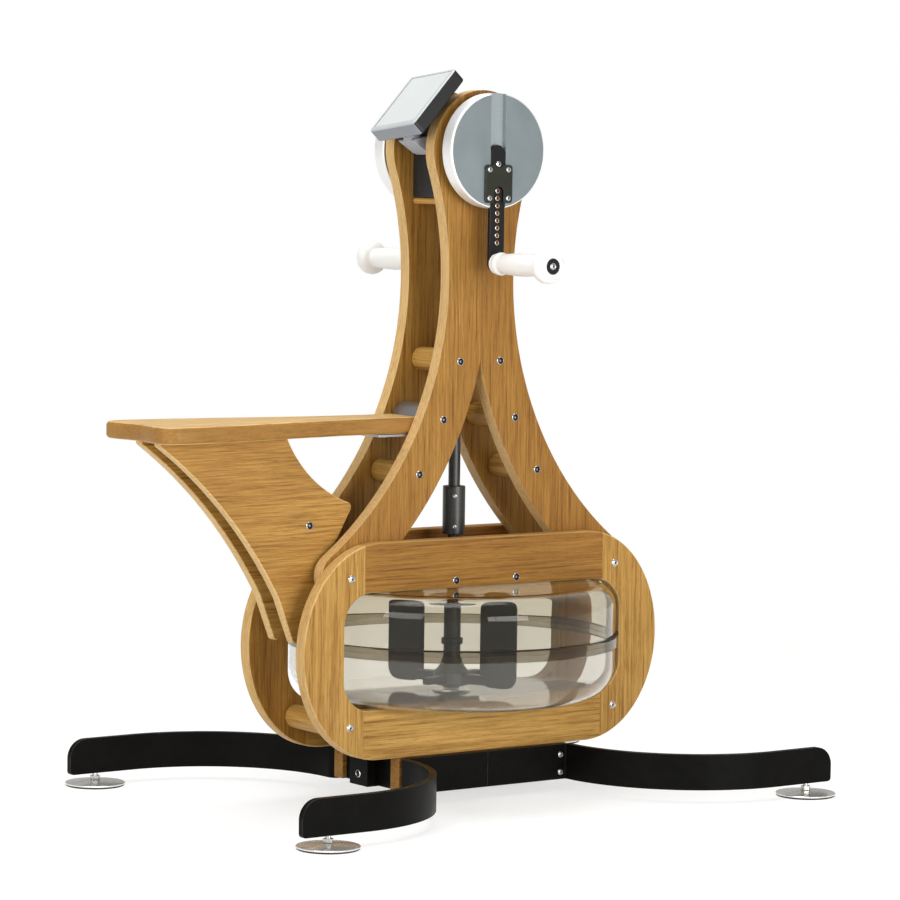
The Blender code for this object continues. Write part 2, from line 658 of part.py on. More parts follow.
def make_base():
    """Oak rails under the rings and the welded frame that ties them."""
    rail_top = RING_BOTTOM_Z - FIT
    half = RAIL_LENGTH / 2
    for side_name, side in SIDES.items():
        y_range = span_y(side, RING_INNER_Y, RING_OUTER_Y)
        shape = block((-half, half), y_range, (RAIL_BOTTOM_Z, rail_top))
        add_piece(f"base_rail_{side_name}", shape, "oak")
    z_range = (RAIL_BOTTOM_Z, rail_top)
    width = (-BEAM_HALF_WIDTH, BEAM_HALF_WIDTH)
    end_x = BEAM_HALF_LENGTH + END_PLATE_THICKNESS
    frame = add_piece("base_frame", block((-end_x, end_x), width, z_range), "black_steel")
    inner = BEAM_HALF_WIDTH - BEAM_WALL
    channel = block((-BEAM_HALF_LENGTH, BEAM_HALF_LENGTH), (-inner, inner),
                    (RAIL_BOTTOM_Z - 0.01, rail_top - BEAM_WALL))
    cut(frame, channel)
    reach = RING_INNER_Y - FIT
    half = CROSS_BAR_THICKNESS / 2
    for end in ENDS.values():
        x_range = (end * CROSS_BAR_X - half, end * CROSS_BAR_X + half)
        fuse(frame, block(x_range, (-reach, reach), z_range))


def make_tank():
    """Lower bowl with its collar, and the lid that sits in the collar."""
    wall, corner = TANK_WALL, TANK_LOWER_CORNER
    flat = TANK_RADIUS - corner
    bend_z = TANK_BOTTOM_Z + corner
    collar_low = TANK_SEAM_Z + FIT - TANK_COLLAR_HEIGHT / 2
    collar_high = collar_low + TANK_COLLAR_HEIGHT
    rim = TANK_RADIUS + FIT
    quarter = math.pi / 2
    profile = [(0.0, TANK_BOTTOM_Z)]
    profile += arc((flat, bend_z), corner, -quarter, 0.0, 4)
    profile += [(TANK_RADIUS, collar_low), (TANK_COLLAR_RADIUS, collar_low),
                (TANK_COLLAR_RADIUS, collar_high), (rim, collar_high), (rim, TANK_SEAM_Z),
                (TANK_RADIUS - wall, TANK_SEAM_Z)]
    profile += arc((flat, bend_z), corner - wall, 0.0, -quarter, 4)
    boss_z = TANK_BOTTOM_Z + wall + TANK_BOSS_HEIGHT
    profile += [(TANK_BOSS_RADIUS, TANK_BOTTOM_Z + wall), (TANK_BOSS_RADIUS, boss_z), (0.0, boss_z)]
    add_piece("tank_bowl", turned(profile, SEG_TANK, upright(), closed=False), "clear_tank")

    corner = TANK_UPPER_CORNER
    flat = TANK_RADIUS - corner
    bend_z = TANK_TOP_Z - corner
    bore = SHAFT_RADIUS + SHAFT_PLAY
    profile = [(TANK_RADIUS, TANK_SEAM_Z + FIT)]
    profile += arc((flat, bend_z), corner, 0.0, quarter, 4)
    profile += [(bore, TANK_TOP_Z), (bore, TANK_TOP_Z - wall)]
    profile += arc((flat, bend_z), corner - wall, quarter, 0.0, 4)
    profile.append((TANK_RADIUS - wall, TANK_SEAM_Z + FIT))
    add_piece("tank_lid", turned(profile, SEG_TANK, upright()), "clear_tank")


def rounded_rectangle(u_range, v_range, radius, steps):
    (u0, u1), (v0, v1) = u_range, v_range
    quarter = math.pi / 2
    outline = arc((u1 - radius, v0 + radius), radius, -quarter, 0.0, steps)
    outline += arc((u1 - radius, v1 - radius), radius, 0.0, quarter, steps)
    outline += arc((u0 + radius, v1 - radius), radius, quarter, 2 * quarter, steps)
    outline += arc((u0 + radius, v0 + radius), radius, 2 * quarter, 3 * quarter, steps)
    return outline


def turned_block(radial, across, z_range, angle):
    """Block that reaches out from the upright shaft at an angle."""
    bm = block(radial, across, z_range)
    bmesh.ops.rotate(bm, verts=bm.verts, matrix=Matrix.Rotation(angle, 3, "Z"))
    return bm


def make_paddle():
    floor_z = TANK_BOTTOM_Z + TANK_WALL
    low = floor_z + TANK_BOSS_HEIGHT + FIT
    disc_high = TANK_TOP_Z - PADDLE_DISC_DROP
    disc_low = disc_high - PADDLE_DISC_THICKNESS
    top = SHAFT_SPLIT_Z - FIT
    blade_low = floor_z + BLADE_FLOOR_GAP
    blade_high = TANK_TOP_Z - TANK_WALL - BLADE_LID_GAP
    hub_high = blade_low + PADDLE_HUB_HEIGHT
    profile = [(0.0, low), (PADDLE_SHAFT_RADIUS, low), (PADDLE_SHAFT_RADIUS, blade_low),
               (PADDLE_HUB_RADIUS, blade_low), (PADDLE_HUB_RADIUS, hub_high),
               (PADDLE_SHAFT_RADIUS, hub_high), (PADDLE_SHAFT_RADIUS, disc_low),
               (PADDLE_DISC_RADIUS, disc_low), (PADDLE_DISC_RADIUS, disc_high),
               (SHAFT_RADIUS, disc_high), (SHAFT_RADIUS, top), (0.0, top)]
    paddle = add_piece("paddle", turned(profile, SEG_SMALL, upright(), closed=False), "dark_plastic")
    arm_low = blade_low + (PADDLE_HUB_HEIGHT - PADDLE_ARM_HEIGHT) / 2
    arm_high = arm_low + PADDLE_ARM_HEIGHT
    arm_half = PADDLE_ARM_WIDTH / 2
    blade_half = BLADE_THICKNESS / 2
    reach = BLADE_INNER_RADIUS + BLADE_OVERLAP
    fuse(paddle, turned_block((-reach, reach), (-arm_half, arm_half), (arm_low, arm_high), PADDLE_ANGLE))
    fuse(paddle, turned_block((-STIR_ARM_LENGTH, STIR_ARM_LENGTH), (-arm_half, arm_half),
                              (arm_low + 0.002, arm_high - 0.002), PADDLE_ANGLE + math.pi / 2))
    outline = rounded_rectangle((BLADE_INNER_RADIUS, BLADE_OUTER_RADIUS), (blade_low, blade_high),
                                BLADE_CORNER, 3)
    for turn in (0.0, math.pi):
        blade = slab_xz(outline, -blade_half, blade_half)
        bmesh.ops.rotate(blade, verts=blade.verts, matrix=Matrix.Rotation(PADDLE_ANGLE + turn, 3, "Z"))
        fuse(paddle, blade)


def make_bridge():
    """Block between the top rails, with the shaft's lower bearing."""
    reach = RING_INNER_Y - FIT
    half = BRIDGE_HALF_LENGTH
    shape = block((-half, half), (-reach, reach), (BRIDGE_BOTTOM_Z, BRIDGE_BOTTOM_Z + BRIDGE_HEIGHT))
    bridge = add_piece("shaft_bridge", shape, "oak")
    bore = rod(SHAFT_RADIUS + SHAFT_PLAY, BRIDGE_BOTTOM_Z - 0.01, BRIDGE_BOTTOM_Z + BRIDGE_HEIGHT + 0.01,
               SEG_SMALL, upright())
    cut(bridge, bore)


def make_coupling():
    bore = SHAFT_RADIUS + FIT
    edge = 0.001
    profile = [(bore, COUPLING_BOTTOM_Z), (COUPLING_RADIUS - edge, COUPLING_BOTTOM_Z),
               (COUPLING_RADIUS, COUPLING_BOTTOM_Z + edge), (COUPLING_RADIUS, COUPLING_TOP_Z - edge),
               (COUPLING_RADIUS - edge, COUPLING_TOP_Z), (bore, COUPLING_TOP_Z)]
    add_piece("shaft_coupling", turned(profile, SEG_SMALL, upright()), "dark_plate")


def cone_angles():
    """Pitch cone angles of the crank gear and of the pinion."""
    gear = math.atan2(GEAR_TEETH, PINION_TEETH)
    return gear, math.pi / 2 - gear


def tooth_loop(bm, teeth, cone_angle, distance, phase, place):
    """One closed row of tooth corners at a distance from the cones' apex."""
    outer = GEAR_PITCH_RADIUS / math.sin(cone_angles()[0])
    pitch = 2 * math.pi / teeth
    tip = cone_angle + GEAR_ADDENDUM / outer
    root = cone_angle - GEAR_DEDENDUM / outer
    corners = ((-TOOTH_FOOT_SHARE, root), (-TOOTH_TIP_SHARE, tip), (TOOTH_TIP_SHARE, tip),
               (TOOTH_FOOT_SHARE, root))
    loop = []
    for tooth in range(teeth):
        for share, angle in corners:
            turn = (tooth + share + phase) * pitch
            radius = distance * math.sin(angle)
            loop.append(bm.verts.new(place(radius * math.cos(turn), radius * math.sin(turn),
                                           distance * math.cos(angle))))
    return loop


def plain_loop(bm, teeth, radius, height, phase, place):
    """Round row with one point for each tooth corner."""
    loop = []
    for tooth in range(teeth):
        for share in (-TOOTH_FOOT_SHARE, -TOOTH_TIP_SHARE, TOOTH_TIP_SHARE, TOOTH_FOOT_SHARE):
            turn = (tooth + share + phase) * 2 * math.pi / teeth
            loop.append(bm.verts.new(place(radius * math.cos(turn), radius * math.sin(turn), height)))
    return loop


def bridge_rows(bm, rows):
    for first, second in zip(rows, rows[1:]):
        count = len(first)
        for index in range(count):
            following = (index + 1) % count
            bm.faces.new((first[index], first[following], second[following], second[index]))


def make_gears():
    """Bevel gear on the crank shaft, and the pinion cut on the upright shaft."""
    gear_cone, pinion_cone = cone_angles()
    outer = GEAR_PITCH_RADIUS / math.sin(gear_cone)
    inner = outer * GEAR_FACE_SHARE

    def gear_place(u, v, height):
        return (-v, height, CRANK_Z - u)

    bm = bmesh.new()
    bore = CRANK_SHAFT_RADIUS + FIT
    front_y = inner * math.cos(gear_cone)
    rows = [tooth_loop(bm, GEAR_TEETH, gear_cone, outer, 0.0, gear_place),
            plain_loop(bm, GEAR_TEETH, bore, GEAR_BACK_Y, 0.0, gear_place),
            plain_loop(bm, GEAR_TEETH, bore, front_y, 0.0, gear_place),
            tooth_loop(bm, GEAR_TEETH, gear_cone, inner, 0.0, gear_place)]
    bridge_rows(bm, rows + rows[:1])
    add_piece("crank_gear", bm, "shaft_steel", (0.0, 0.0, CRANK_Z))

    def pinion_place(u, v, height):
        return (v, u, CRANK_Z - height)

    bm = bmesh.new()
    hub = outer * math.cos(pinion_cone) + 0.006
    shaft_end = CRANK_Z - SHAFT_SPLIT_Z - FIT
    rows = [tooth_loop(bm, PINION_TEETH, pinion_cone, inner, 0.5, pinion_place),
            tooth_loop(bm, PINION_TEETH, pinion_cone, outer, 0.5, pinion_place),
            plain_loop(bm, PINION_TEETH, PINION_HUB_RADIUS, hub, 0.5, pinion_place),
            plain_loop(bm, PINION_TEETH, SHAFT_RADIUS, hub + 0.001, 0.5, pinion_place),
            plain_loop(bm, PINION_TEETH, SHAFT_RADIUS, shaft_end, 0.5, pinion_place)]
    bridge_rows(bm, rows)
    bm.faces.new(rows[-1])
    nose = bm.verts.new(pinion_place(0.0, 0.0, inner * math.cos(pinion_cone)))
    count = len(rows[0])
    for index in range(count):
        bm.faces.new((rows[0][index], rows[0][(index + 1) % count], nose))
    add_piece("drive_shaft", bm, "shaft_steel", (0.0, 0.0, CRANK_Z))


def make_gearbox():
    half_y = PANEL_INNER_Y - FIT
    half_x = HOUSING_HALF_LENGTH
    wall = HOUSING_WALL
    shape = block((-half_x, half_x), (-half_y, half_y), (HOUSING_BOTTOM_Z, HOUSING_TOP_Z))
    housing = add_piece("gearbox_housing", shape, "dark_plastic")
    cut(housing, block((wall - half_x, half_x - wall), (wall - half_y, half_y - wall),
                       (HOUSING_BOTTOM_Z + wall, HOUSING_TOP_Z - wall)))
    cut(housing, rod(CRANK_SHAFT_RADIUS + SHAFT_PLAY, -half_y - wall, half_y + wall, SEG_SMALL,
                     crosswise(1, 0.0, CRANK_Z)))
    cut(housing, rod(SHAFT_RADIUS + SHAFT_PLAY, HOUSING_BOTTOM_Z - wall, HOUSING_BOTTOM_Z + 2 * wall,
                     SEG_SMALL, upright()))
    shelf_top = HOUSING_BOTTOM_Z - FIT
    outline = rounded_rectangle((-half_x, half_x), (shelf_top - SHELF_THICKNESS, shelf_top),
                                SHELF_THICKNESS / 2 - FIT, 2)
    shelf = add_piece("gearbox_shelf", slab_xz(outline, -half_y, half_y), "oak")
    cut(shelf, rod(SHAFT_RADIUS + 0.002, shelf_top - 2 * SHELF_THICKNESS, shelf_top + 0.005,
                   SEG_SMALL, upright()))


def make_crank():
    """Shaft, bearings, slotted discs and the plates that clamp the arms."""
    axis = (0.0, 0.0, CRANK_Z)
    shaft_end = DISC_FACE_Y - GROOVE_DEPTH - FIT
    shaft = rod(CRANK_SHAFT_RADIUS, -shaft_end, shaft_end, SEG_SMALL, crosswise(1, 0.0, CRANK_Z))
    add_piece("crank_shaft", shaft, "shaft_steel", axis)
    sleeve_start = PANEL_INNER_Y + FIT
    flange_start = PANEL_OUTER_Y + FIT
    flange_end = flange_start + BEARING_FLANGE_THICKNESS
    bearing = [(BEARING_BORE, sleeve_start), (BEARING_SLEEVE_RADIUS, sleeve_start),
               (BEARING_SLEEVE_RADIUS, flange_start), (BEARING_FLANGE_RADIUS, flange_start),
               (BEARING_FLANGE_RADIUS, flange_end), (BEARING_BORE, flange_end)]
    disc = [(BEARING_BORE, DISC_BACK_Y), (DISC_RADIUS - DISC_EDGE, DISC_BACK_Y),
            (DISC_RADIUS, DISC_BACK_Y + DISC_EDGE), (DISC_RADIUS, DISC_FACE_Y - DISC_EDGE),
            (DISC_RADIUS - DISC_EDGE, DISC_FACE_Y), (BEARING_BORE, DISC_FACE_Y)]
    for side_name, side in SIDES.items():
        place = crosswise(side, 0.0, CRANK_Z)
        add_piece(f"crank_bearing_{side_name}", turned(bearing, SEG_SMALL, place), "shaft_steel")
        wheel = add_piece(f"crank_disc_{side_name}", turned(disc, SEG_DISC, place), "satin_aluminium", axis)
        groove_y = span_y(side, DISC_FACE_Y - GROOVE_DEPTH, DISC_FACE_Y + 0.002)
        long_reach = DISC_RADIUS + 0.005
        cut(wheel, block((-GROOVE_WIDTH / 2, GROOVE_WIDTH / 2), groove_y,
                         (CRANK_Z - long_reach, CRANK_Z + long_reach)))
        plate = slab_xz(plate_outline(), *span_y(side, PLATE_BACK_Y, PLATE_FACE_Y))
        add_piece(f"clamp_plate_{side_name}", plate, "dark_plate", axis)


def plate_outline():
    """Clamp plate: round ears, a dip under the stop and a slot for the arm."""
    half = PLATE_WIDTH / 2
    ear = 0.005
    slot = PLATE_SLOT_WIDTH / 2
    quarter = math.pi / 2
    dip_radius = STOP_RADIUS + 0.004
    slot_z = PLATE_SLOT_TOP_Z - slot
    right = [(slot, PLATE_BOTTOM_Z), (half - ear, PLATE_BOTTOM_Z)]
    right += arc((half - ear, PLATE_BOTTOM_Z + ear), ear, -quarter, 0.0, 3)[1:]
    right += arc((half - ear, PLATE_TOP_Z - ear), ear, 0.0, quarter, 3)
    dip_centre = (0.0, PLATE_TOP_Z - PLATE_DIP + dip_radius)
    dip_spread = math.acos((dip_radius - PLATE_DIP) / dip_radius)
    right += arc(dip_centre, dip_radius, dip_spread - quarter, -quarter, 3)
    left = [(-x, z) for x, z in reversed(right[:-1])]
    slot_top = arc((0.0, slot_z), slot, math.pi, 0.0, 6)
    return right + left + slot_top


def make_arms():
    """Crank arms with their adjusting holes, stop screws, axles and caps."""
    half = ARM_WIDTH / 2
    outline = arc((0.0, ARM_TOP_Z - half), half, 0.0, math.pi, 8)
    outline += arc((0.0, HANDLE_Z), half, math.pi, 2 * math.pi, 8)
    axle = [(0.0, ARM_FACE_Y - 0.003), (GRIP_AXLE_RADIUS, ARM_FACE_Y - 0.003),
            (GRIP_AXLE_RADIUS, GRIP_END_Y - CAP_THICKNESS), (CAP_RADIUS, GRIP_END_Y - CAP_THICKNESS),
            (CAP_RADIUS, GRIP_END_Y), (0.0, GRIP_END_Y)]
    for side_name, side in SIDES.items():
        bar = slab_xz(outline, *span_y(side, ARM_BACK_Y, ARM_FACE_Y))
        arm = add_piece(f"crank_arm_{side_name}", bar, "black_steel", (0.0, 0.0, CRANK_Z))
        fuse(arm, turned(axle, 16, crosswise(side, 0.0, HANDLE_Z), closed=False))
        fuse(arm, rod(STOP_RADIUS, ARM_FACE_Y - 0.003, PLATE_FACE_Y, 12, crosswise(side, 0.0, STOP_Z)))
        holes = bmesh.new()
        for index in range(ARM_HOLE_COUNT):
            z = HANDLE_Z + ARM_FIRST_HOLE_RISE + index * ARM_HOLE_PITCH
            hole = rod(ARM_HOLE_RADIUS, ARM_BACK_Y - 0.005, ARM_FACE_Y + 0.005, 8, crosswise(side, 0.0, z))
            scratch = bpy.data.meshes.new("hole")
            hole.to_mesh(scratch)
            hole.free()
            holes.from_mesh(scratch)
        cut(arm, holes)


def make_grips():
    """Turned grips that spin on the arms' axles, with a flare at the end."""
    start, end = GRIP_START_Y, GRIP_END_Y
    lip = 0.002
    recess = CAP_RADIUS + 0.0004
    floor = end - CAP_THICKNESS - FIT
    profile = [(GRIP_BORE_RADIUS, start), (GRIP_RADIUS - lip, start), (GRIP_RADIUS, start + lip),
               (GRIP_RADIUS, end - 0.028), (GRIP_RADIUS + 0.001, end - 0.020),
               (GRIP_RADIUS + 0.0035, end - 0.012), (GRIP_FLANGE_RADIUS - 0.001, end - 0.0075),
               (GRIP_FLANGE_RADIUS, end - 0.004), (GRIP_FLANGE_RADIUS - 0.002, end - 0.0005),
               (recess, end), (recess, floor), (GRIP_BORE_RADIUS, floor)]
    for side_name, side in SIDES.items():
        shape = turned(profile, SEG_SMALL, crosswise(side, 0.0, HANDLE_Z))
        add_piece(f"grip_{side_name}", shape, "white_plastic", (0.0, side * start, HANDLE_Z))


def seat_outline():
    """Seat board: broad and slightly hollow at the user's end, narrow between the panels."""
    end_x, half, corner = SEAT_END_X, SEAT_HALF_WIDTH, SEAT_CORNER
    right_x = SEAT_HOOK_X - FIT
    quarter = math.pi / 2
    near = [(right_x, -SEAT_NECK_HALF_WIDTH)]
    steps = 12
    for step in range(steps, 0, -1):
        share = step / steps
        blend = share * share * (3 - 2 * share)
        x = SEAT_TAPER_START_X + (SEAT_TAPER_END_X - SEAT_TAPER_START_X) * share
        near.append((x, -(half + (SEAT_NECK_HALF_WIDTH - half) * blend)))
    reach = half - corner
    near += list(reversed(arc((end_x + corner, -reach), corner, 2 * quarter, 3 * quarter, 5)))
    spans = 9
    for step in range(1, spans // 2 + 1):
        y = reach * (2 * step / spans - 1)
        near.append((end_x + SEAT_END_DIP * (1 + math.cos(math.pi * y / reach)) / 2, y))
    far = [(x, -y) for x, y in reversed(near)]
    return list(reversed(near + far))


def make_seat():
    shape = slab_xy(seat_outline(), SEAT_TOP_Z - SEAT_THICKNESS, SEAT_TOP_Z)
    rims = [edge for edge in shape.edges
            if abs(edge.verts[0].co.z - edge.verts[1].co.z) < 1e-6]
    bmesh.ops.bevel(shape, geom=rims, offset=SEAT_EDGE, segments=2, profile=SEAT_EDGE_PROFILE,
                    affect="EDGES")
    add_piece("seat_board", shape, "oak")
    for side_name, side in SIDES.items():
        y_range = span_y(side, BRACKET_INNER_Y, BRACKET_INNER_Y + BRACKET_THICKNESS)
        add_piece(f"seat_bracket_{side_name}", slab_xz(bracket_outline(), *y_range), "oak")
    add_piece("seat_hook", slab_xz(hook_outline(), -HOOK_HALF_WIDTH, HOOK_HALF_WIDTH), "grey_plastic")


def bracket_outline():
    """Wing-shaped plate whose lower edge leans on the left foot dowel."""
    top_z = SEAT_TOP_Z - SEAT_THICKNESS - FIT
    dowel = Vector((-RING_BOLT_X, RING_MIDDLE_Z + RING_BOLT_RISE))
    nose = Vector(BRACKET_NOSE)
    towards = dowel - nose
    lean = math.asin((DOWEL_RADIUS + FIT) / towards.length)
    direction = math.atan2(towards.y, towards.x) - lean
    slope = math.cos(direction) / math.sin(direction)
    foot_x = nose.x + (BRACKET_FOOT_Z - nose.y) * slope
    heel_x = SEAT_END_X + BRACKET_HEEL_INSET
    root = (BRACKET_ROOT_X, top_z)
    outline = [(heel_x, top_z)]
    outline += arc_through((heel_x, top_z - BRACKET_HEEL_HEIGHT), BRACKET_HOLLOW, BRACKET_TIP, 10)
    outline += [(foot_x - 0.004, BRACKET_FOOT_Z + 0.002), (foot_x + 0.002, BRACKET_FOOT_Z + 0.004)]
    outline += [BRACKET_NOSE, (BRACKET_NOSE[0] + 0.002, (BRACKET_NOSE[1] + BRACKET_SHOULDER[1]) / 2)]
    outline += arc_through(BRACKET_SHOULDER, BRACKET_THROAT, root, 8)
    return outline


def hook_outline():
    """Bent strip: flat under the seat, up its end and over the middle dowel."""
    dowel_x, dowel_z = -DOWEL_MIDDLE[0], DOWEL_MIDDLE[1]
    inner = DOWEL_RADIUS + FIT
    outer = inner + HOOK_THICKNESS
    top_z = SEAT_TOP_Z - SEAT_THICKNESS - FIT
    low_z = top_z - HOOK_THICKNESS
    inner_x = dowel_x - inner
    outer_x = dowel_x - outer
    lip_z = dowel_z - HOOK_LIP
    outline = [(outer_x - HOOK_FLAT_LENGTH, low_z), (inner_x, low_z)]
    outline += arc((dowel_x, dowel_z), inner, math.pi, 0.0, 10)
    outline += [(dowel_x + inner, lip_z), (dowel_x + outer, lip_z)]
    outline += arc((dowel_x, dowel_z), outer, 0.0, math.pi, 10)
    outline += [(outer_x, top_z), (outer_x - HOOK_FLAT_LENGTH, top_z)]
    return outline


def monitor_matrix():
    """Monitor frame: X along its width, Y up its screen, Z out of its screen."""
    outward = Vector((-math.cos(MONITOR_TILT) * math.cos(MONITOR_YAW),
                      math.cos(MONITOR_TILT) * math.sin(MONITOR_YAW), math.sin(MONITOR_TILT)))
    level = Vector((0.0, 0.0, 1.0)).cross(outward).normalized()
    rise = outward.cross(level)
    across = math.cos(MONITOR_ROLL) * level + math.sin(MONITOR_ROLL) * rise
    up = math.cos(MONITOR_ROLL) * rise - math.sin(MONITOR_ROLL) * level
    turn = Matrix((across, up, outward)).transposed().to_4x4()
    return Matrix.Translation(MONITOR_PIVOT) @ turn


def hinge_axis():
    """Axis for turned() along the monitor's hinge."""
    frame = monitor_matrix()
    return lambda u, v, height: frame @ Vector((height, u, v))


def monitor_box(u_range, v_range, w_range, corner, steps):
    frame = monitor_matrix()
    outline = rounded_rectangle(u_range, v_range, corner, steps)
    w_low, w_high = w_range
    return prism(outline, lambda u, v: frame @ Vector((u, v, w_low)),
                 lambda u, v: frame @ Vector((u, v, w_high)))


def make_monitor():
    sides = (MONITOR_SIDE_SHIFT - MONITOR_WIDTH / 2, MONITOR_SIDE_SHIFT + MONITOR_WIDTH / 2)
    low = -MONITOR_PIVOT_RISE
    high = low + MONITOR_HEIGHT
    back = MONITOR_PIVOT_DEPTH
    face = back + MONITOR_THICKNESS
    pivot = MONITOR_PIVOT
    shape = monitor_box(sides, (low, high), (back, face), MONITOR_CORNER, 3)
    case = add_piece("monitor_case", shape, "dark_plastic", pivot)
    box = BACK_BOX_HALF_WIDTH
    fuse(case, monitor_box((-box, box), (BACK_BOX_LOW, BACK_BOX_HIGH),
                           (back - BACK_BOX_DEPTH, back + 0.002), 0.004, 2))
    for sign in (-1, 1):
        ear_u = tuple(sorted((sign * EAR_INNER, sign * (EAR_INNER + EAR_THICKNESS))))
        ear = arc((0.0, 0.0), BARREL_RADIUS, math.pi, 2 * math.pi, 8)
        ear = [(BARREL_RADIUS, back + 0.002), (-BARREL_RADIUS, back + 0.002)] + ear
        frame = monitor_matrix()
        fuse(case, prism(ear, lambda v, w, u=ear_u[0], f=frame: f @ Vector((u, v, w)),
                         lambda v, w, u=ear_u[1], f=frame: f @ Vector((u, v, w))))
    hole = rod(HINGE_PIN_RADIUS + FIT, -EAR_INNER - 0.02, EAR_INNER + 0.02, 12, hinge_axis())
    cut(case, hole)
    margin = SCREEN_MARGIN
    u_range = (sides[0] + margin, sides[1] - margin)
    v_range = (low + margin, high - margin)
    cut(case, monitor_box(u_range, v_range, (face - SCREEN_DEPTH, face + 0.002), 0.003, 2))
    u_range = (u_range[0] + FIT, u_range[1] - FIT)
    v_range = (v_range[0] + FIT, v_range[1] - FIT)
    add_piece("monitor_screen", monitor_box(u_range, v_range, (face - SCREEN_DEPTH + FIT, face - FIT),
                                            0.003, 2), "screen", pivot)

    housing_x = -HOUSING_HALF_LENGTH - FIT
    pivot_x, pivot_z = pivot[0], pivot[2]
    low_z = pivot_z - ARM_BODY_DROP
    body = [(housing_x, pivot_z - 0.006), (pivot_x + 0.015, pivot_z - 0.009),
            (pivot_x, pivot_z - 0.012), (pivot_x - 0.0035, pivot_z - 0.015),
            (pivot_x + 0.023, low_z + 0.003), (pivot_x + 0.027, low_z + 0.0008),
            (pivot_x + 0.031, low_z), (housing_x, low_z + 0.001)]
    wide = ARM_BODY_HALF_WIDTH
    arm = add_piece("monitor_arm", slab_xz(body, -wide, wide), "grey_plastic")
    neck_x = 0.93 * BARREL_RADIUS
    neck = [(pivot_x - 0.0033, pivot_z - 0.0155), (pivot_x - neck_x, pivot_z), (pivot_x + neck_x, pivot_z),
            (pivot_x + 0.017, pivot_z - 0.010), (pivot_x + 0.012, pivot_z - 0.020)]
    slim = ARM_NECK_HALF_WIDTH
    fuse(arm, slab_xz(neck, pivot[1] - slim, pivot[1] + slim))
    wide = BARREL_HALF_WIDTH
    pin = HINGE_PIN_HALF_LENGTH
    fuse(arm, rod(BARREL_RADIUS, -wide, wide, 20, hinge_axis()))
    fuse(arm, rod(HINGE_PIN_RADIUS, -pin, pin, 12, hinge_axis()))


clear_scene()
assembly = bpy.data.objects.new("assembly", None)
bpy.context.scene.collection.objects.link(assembly)
assembly.location = (ASSEMBLY_SHIFT, 0.0, 0.0)

make_side_panels()
make_rings()
make_dowels()
make_legs()
make_feet()
make_base()
make_tank()
make_paddle()
make_bridge()
make_coupling()
make_gears()
make_gearbox()
make_crank()
make_arms()
make_grips()
make_seat()
make_monitor()
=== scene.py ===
"""Finished model of the water grinder ergometer: oak frame, tank, crank, seat.

Sizes are in metres and are drawn with X = 0 and Y = 0 on the upright shaft.
Each piece is moved by SHIFT when it is delivered, which puts it in the
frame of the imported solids.
"""
import logging
import math
from dataclasses import dataclass, field, replace
from enum import Enum, IntEnum
from typing import Callable, Sequence

import bmesh
import bpy
from mathutils import Matrix, Vector


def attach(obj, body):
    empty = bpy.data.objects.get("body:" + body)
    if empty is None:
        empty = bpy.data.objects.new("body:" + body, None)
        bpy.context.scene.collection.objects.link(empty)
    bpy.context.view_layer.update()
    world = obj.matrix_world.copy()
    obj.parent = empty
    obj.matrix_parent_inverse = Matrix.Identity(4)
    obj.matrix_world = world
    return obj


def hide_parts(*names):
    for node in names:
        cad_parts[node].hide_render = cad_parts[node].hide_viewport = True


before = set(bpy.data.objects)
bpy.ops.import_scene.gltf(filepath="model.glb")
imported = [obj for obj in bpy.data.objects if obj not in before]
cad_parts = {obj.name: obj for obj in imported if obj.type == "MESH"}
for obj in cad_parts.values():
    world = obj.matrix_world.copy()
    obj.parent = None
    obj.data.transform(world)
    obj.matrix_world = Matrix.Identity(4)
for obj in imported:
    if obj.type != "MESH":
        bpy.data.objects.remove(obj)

LOG = logging.getLogger("ergometer")

Point = tuple[float, float]
Spot = tuple[float, float, float]
Colour = tuple[float, float, float]
Stops = Sequence[tuple[float, Colour]]
EdgeRule = Callable[[Vector, Vector], bool]
Piece = bpy.types.Object
Tree = bpy.types.NodeTree
Node = bpy.types.Node
Socket = bpy.types.NodeSocket

SHIFT = 0.0425
FIT = 0.0003
QUARTER = math.pi / 2
SHARP = 0.6
FACING = 0.85


class Way(IntEnum):
    """A direction from the machine's middle, which counts as its sign."""

    @property
    def word(self) -> str:
        """The direction as the pieces' names have it."""
        return self.name.lower()


class Side(Way):
    """The two long sides of the machine."""

    FRONT = -1
    BACK = 1


class End(Way):
    """The two ends of the machine."""

    LEFT = -1
    RIGHT = 1


class Grain(Enum):
    """Direction of a board's grain, as the turn that lays it along X."""

    ALONG = (0.0, 0.0, 0.0)
    ACROSS = (0.0, 0.0, -QUARTER)
    UPRIGHT = (0.0, QUARTER, 0.0)


class Slot(Enum):
    """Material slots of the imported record."""

    OAK = "oak"
    BLACK_STEEL = "black_steel"
    ARM_STEEL = "arm_steel"
    CHROME = "chrome_foot"
    DISC = "disc_metal"
    DARK_PLATE = "dark_plate"
    SHAFT = "shaft_steel"
    GRIP = "white_grip"
    TANK = "clear_tank"
    PLASTIC = "dark_plastic"
    SCREEN = "screen"
    GREY = "grey_metal"


def arc(centre: Point, radius: float, start: float, end: float, steps: int) -> list[Point]:
    """Points on a circle from the start angle to the end angle.

    Args:
        centre: Middle of the circle.
        radius: Its radius.
        start: First angle in radians.
        end: Last angle in radians.
        steps: Number of equal steps between them.

    Returns:
        steps + 1 points, both ends included.
    """
    angles = [start + (end - start) * step / steps for step in range(steps + 1)]
    return [(centre[0] + radius * math.cos(angle), centre[1] + radius * math.sin(angle)) for angle in angles]


